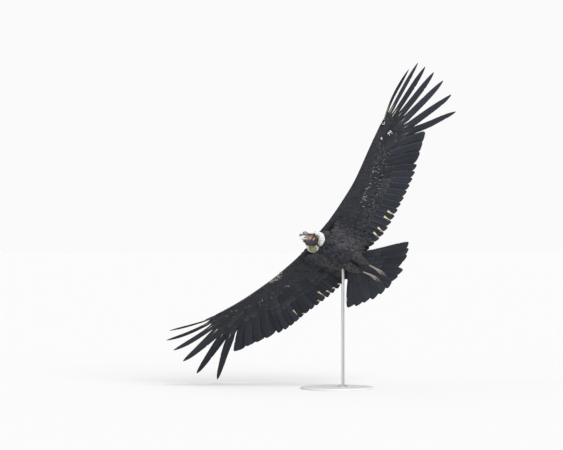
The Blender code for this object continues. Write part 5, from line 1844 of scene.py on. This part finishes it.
def make_bill(name, upper):
    """Half of the bill, with a flattened flank, a soft ridge and, above, the long nostril slit."""
    rings = []
    for i in range(BILL_STEPS + 1):
        u = i / BILL_STEPS
        if upper:
            x = BILL_ROOT + 0.058 * math.sin(u * 1.35)
            drop = -0.028 * max(u - 0.35, 0) ** 1.8 / 0.65 ** 1.8
            top = 0.0165 + drop
            bottom = -0.0055 - 0.016 * max(u - 0.45, 0) ** 1.6 / 0.55 ** 1.6
            if u > 0.72:
                bottom = min(bottom, top - 0.003)
            w = 0.0135 * (1 - u ** 2.6) + 0.0012
        else:
            x = BILL_ROOT + 0.042 * u
            top = -0.0068
            bottom = -0.0185 + 0.007 * u * u
            w = 0.0120 * (1 - u ** 2.8) + 0.0012
        if i == BILL_STEPS:
            w *= 0.5
        ring = upright_ring(x, w, top, bottom, 32, 2.3)
        if upper:
            for p in ring:
                ahead = (p.x - NOSTRIL_X) / 0.0055
                above = (p.z - NOSTRIL_Z) / 0.0016
                p.y -= math.copysign(0.0032 * math.exp(-ahead ** 2 - above ** 2), p.y)
        rings.append(ring)
    obj = new_piece(name, *loft_shape(rings), FLIGHT @ HEAD)
    smooth = obj.modifiers.new("fine", "SUBSURF")
    smooth.levels = 1
    smooth.render_levels = 1
    finish_modifiers(obj)
    return dressed(obj, HORN)


handed_in(make_comb(), ("comb",))
handed_in(make_bill("bill_upper_horn", True), ("bill_upper",))
handed_in(make_bill("bill_lower_horn", False), ("bill_lower",))


def eye_finish(name, place, look):
    """Wet eye: dark pupil, brown iris with fine rays, dark rim."""
    mat, tree = new_material(name)
    apart = put(tree, "ShaderNodeVectorMath", {0: object_place(tree), 1: tuple(place + look * EYE_RADIUS)},
                operation="DISTANCE").outputs["Value"]
    iris = blend_colour(tree, noise(tree, 900.0, 2.0), (0.10, 0.035, 0.015), (0.24, 0.10, 0.045))
    colour = blend_colour(tree, band(tree, apart, 0.0050, 0.0060), iris, (0.030, 0.016, 0.014))
    colour = blend_colour(tree, band(tree, apart, 0.0023, 0.0028, 1.0, 0.0), colour, (0.004, 0.004, 0.004))
    return finished(mat, {"Base Color": colour, "Roughness": 0.16, "Specular IOR Level": 0.22})


for eye_name, s in (("left", 1), ("right", -1)):
    place = Vector((EYE_PLACE.x, EYE_PLACE.y * s, EYE_PLACE.z))
    eye = new_piece("eyeball_" + eye_name, *ball_shape(place, (EYE_RADIUS,) * 3, 40, 28), FLIGHT @ HEAD)
    look = ((FLIGHT @ HEAD).to_3x3() @ Vector((0.25, s, 0.05))).normalized()
    dressed(eye, eye_finish("eye " + eye_name, FLIGHT @ HEAD @ place, look))
    handed_in(eye, ("eye_" + eye_name,))

# Feet


def foot_finish():
    """Grey scales with dark seams."""
    mat, tree = new_material("grey foot scales")
    seam = band(tree, cells(tree, 260.0, object_place(tree), "DISTANCE_TO_EDGE"), 0.0, 0.10)
    colour = blend_colour(tree, noise(tree, 60.0, 4.0), (0.20, 0.18, 0.155), (0.36, 0.33, 0.27))
    colour = blend_colour(tree, scaled(tree, seam, -0.55, 0.55), colour, (0.07, 0.064, 0.055))
    return finished(mat, {"Base Color": colour, "Roughness": 0.5}, seam, strength=0.6, depth=0.0006)


def claw_finish():
    """Dark, smooth horn."""
    mat, tree = new_material("dark claw horn")
    colour = blend_colour(tree, noise(tree, 150.0), (0.030, 0.028, 0.026), (0.080, 0.074, 0.068))
    return finished(mat, {"Base Color": colour, "Roughness": 0.28})


FOOT_SKIN = foot_finish()
CLAW_HORN = claw_finish()


SCUTE_SWELL = 0.10
SCUTE_LENGTH = 0.0062
TOE_JOINTS = 8
# Toes: sweep to the left, degrees, and length
TOES = ((-8, 0.070), (0, 0.100), (8, 0.066))
CLAW_SHARES = (-0.3, -0.1, 0.1, 0.3, 0.5, 0.7, 0.85, 1.0)
CLAW_RADII = (0.0040, 0.0041, 0.0040, 0.0037, 0.0031, 0.0023, 0.0015, 0.0006)


def ringed_tube(points, radii, scutes, sides=16):
    """A limb with raised overlapping scutes along its upper side."""
    fine = []
    fine_radii = []
    steps = scutes * 5
    for i in range(steps + 1):
        u = i / steps
        r = along_line(radii, u) * (1 + SCUTE_SWELL * (1 - (u * scutes) % 1.0))
        fine.append(along_line(points, u))
        fine_radii.append(r * 0.72 if i in (0, steps) else r)
    return tube_shape(fine, fine_radii, sides)


def make_foot(name, side):
    """The scaled leg and toes as one skin, and their claws."""
    ankle, root = (Vector((p.x, p.y * side + LEG_SHIFT, p.z)) for p in (ANKLE, TOE_ROOT))
    leg = [ankle, ankle.lerp(root, 0.12), ankle.lerp(root, 0.5), ankle.lerp(root, 0.88),
           root + Vector((-0.006, 0, 0))]
    shapes = [ringed_tube(leg, [0.0066, 0.0076, 0.0056, 0.0072, 0.0062], 13)]
    claws = []
    for sweep, long in TOES:
        a = math.radians(sweep)
        heading = Vector((-math.cos(a), math.sin(a), 0))
        points = []
        radii = []
        for j in range(TOE_JOINTS + 1):
            t = j / TOE_JOINTS
            points.append(root + Vector((0.004, math.sin(a) * 0.012, 0)) + heading * long * t
                          + Vector((0, 0, -0.014 * t * t)))
            radii.append(0.0047 - 0.0014 * t + (0.0006 if j % 2 else 0))
        shapes.append(ringed_tube(points, radii, int(long / SCUTE_LENGTH), 14))
        for p in points[1:TOE_JOINTS:2]:
            shapes.append(ball_shape(p + Vector((0, 0, -0.0022)), (0.0080, 0.0046, 0.0040), 12, 8))
        claw = [points[-1] + heading * 0.022 * t + Vector((0, 0, -0.010 * t * t)) for t in CLAW_SHARES]
        claws.append(tube_shape(claw, CLAW_RADII, 14))
    foot = dressed(blended("foot_%s_scales" % name, shapes, voxel=0.0011, rounds=2), FOOT_SKIN)
    return foot, dressed(new_piece("claws_" + name, *shape_sum(claws)), CLAW_HORN)


for foot_name, s in (("left", 1), ("right", -1)):
    foot, claw = make_foot(foot_name, s)
    handed_in(foot, ("foot_" + foot_name,))
    handed_in(claw)

for spare in (COVERT_LEAF, EDGE_LEAF, BODY_LEAF, DOWN_TUFT):
    bpy.data.objects.remove(spare)

# Stand


def paint_finish():
    """Satin grey paint with a faint grain."""
    mat, tree = new_material("satin grey paint")
    colour = blend_colour(tree, noise(tree, 6.0), (0.66, 0.66, 0.65), (0.72, 0.72, 0.71))
    return finished(mat, {"Base Color": colour, "Roughness": scaled(tree, noise(tree, 18.0), 0.15, 0.38)},
                    noise(tree, 420.0, 2.0), strength=0.15)


def steel_finish():
    """Steel brushed along the rod."""
    mat, tree = new_material("brushed steel")
    brush = stretched_noise(tree, 1.0, (30.0, 30.0, 900.0))
    colour = blend_colour(tree, brush, (0.52, 0.52, 0.53), (0.66, 0.66, 0.66))
    roughness = scaled(tree, brush, 0.2, 0.24)
    return finished(mat, {"Base Color": colour, "Roughness": roughness, "Metallic": 1.0})


STEEL = steel_finish()
STAND_FINISH = {"stand_base": paint_finish(), "stand_collar": STEEL, "stand_rod": STEEL}
for node, finish in STAND_FINISH.items():
    dressed(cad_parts[node], finish)

# Stage, light and camera

FLOOR_REACH = 400.0
PALE = 0.955
SKY_LIGHT = 0.30
# Direction towards each soft sun, its strength and how wide it looks, degrees
SUNS = (("key", (0.75, -1.0, 1.15), 3.4, 45.0), ("fill", (-1.0, -0.9, 0.35), 1.30, 70.0))
SUN_ON_FLOOR = sum(power * Vector(way).normalized().z for _, way, power, _ in SUNS) / math.pi
FLOOR_COLOUR = PALE / (SKY_LIGHT + SUN_ON_FLOOR)

floor_mesh = bpy.data.meshes.new("floor")
corners = [(x * FLOOR_REACH, y * FLOOR_REACH, 0) for x, y in ((-1, -1), (1, -1), (1, 1), (-1, 1))]
floor_mesh.from_pydata(corners, [], [(0, 1, 2, 3)])
floor = linked("floor", floor_mesh)
floor.location.z = -0.0005
dressed(floor, finished(new_material("pale floor")[0], {"Base Color": (FLOOR_COLOUR,) * 3 + (1.0,),
                                                        "Roughness": 1.0, "Specular IOR Level": 0.0}))

world = bpy.data.worlds.new("pale sky")
bpy.context.scene.world = world
world.use_nodes = True
sky = world.node_tree
seen = put(sky, "ShaderNodeLightPath").outputs["Is Camera Ray"]
level = put(sky, "ShaderNodeMapRange", {0: seen, 3: SKY_LIGHT, 4: PALE})
sky.nodes["Background"].inputs["Color"].default_value = (1.0, 1.0, 1.0, 1)
sky.links.new(level.outputs[0], sky.nodes["Background"].inputs["Strength"])

bpy.context.scene.view_settings.view_transform = "Standard"

for name, way, power, width in SUNS:
    sun = bpy.data.lights.new(name, "SUN")
    sun.energy = power
    sun.angle = math.radians(width)
    linked(name, sun).rotation_euler = Vector(way).to_track_quat("Z", "Y").to_euler()

CAMERA_DISTANCE = 16.0
LENS = 137.6
FRAME_CENTRE = Vector((-0.382, 0.0, 0.1636))
camera_data = bpy.data.cameras.new("camera")
camera_data.lens = LENS
camera_data.sensor_width = 36.0
camera_data.clip_end = 500.0
camera = linked("camera", camera_data)
camera.location = BIRD_PLACE - Vector((0, CAMERA_DISTANCE, 0))
camera.rotation_euler = (BIRD_PLACE + FRAME_CENTRE - camera.location).to_track_quat("-Z", "Y").to_euler()
bpy.context.scene.camera = camera
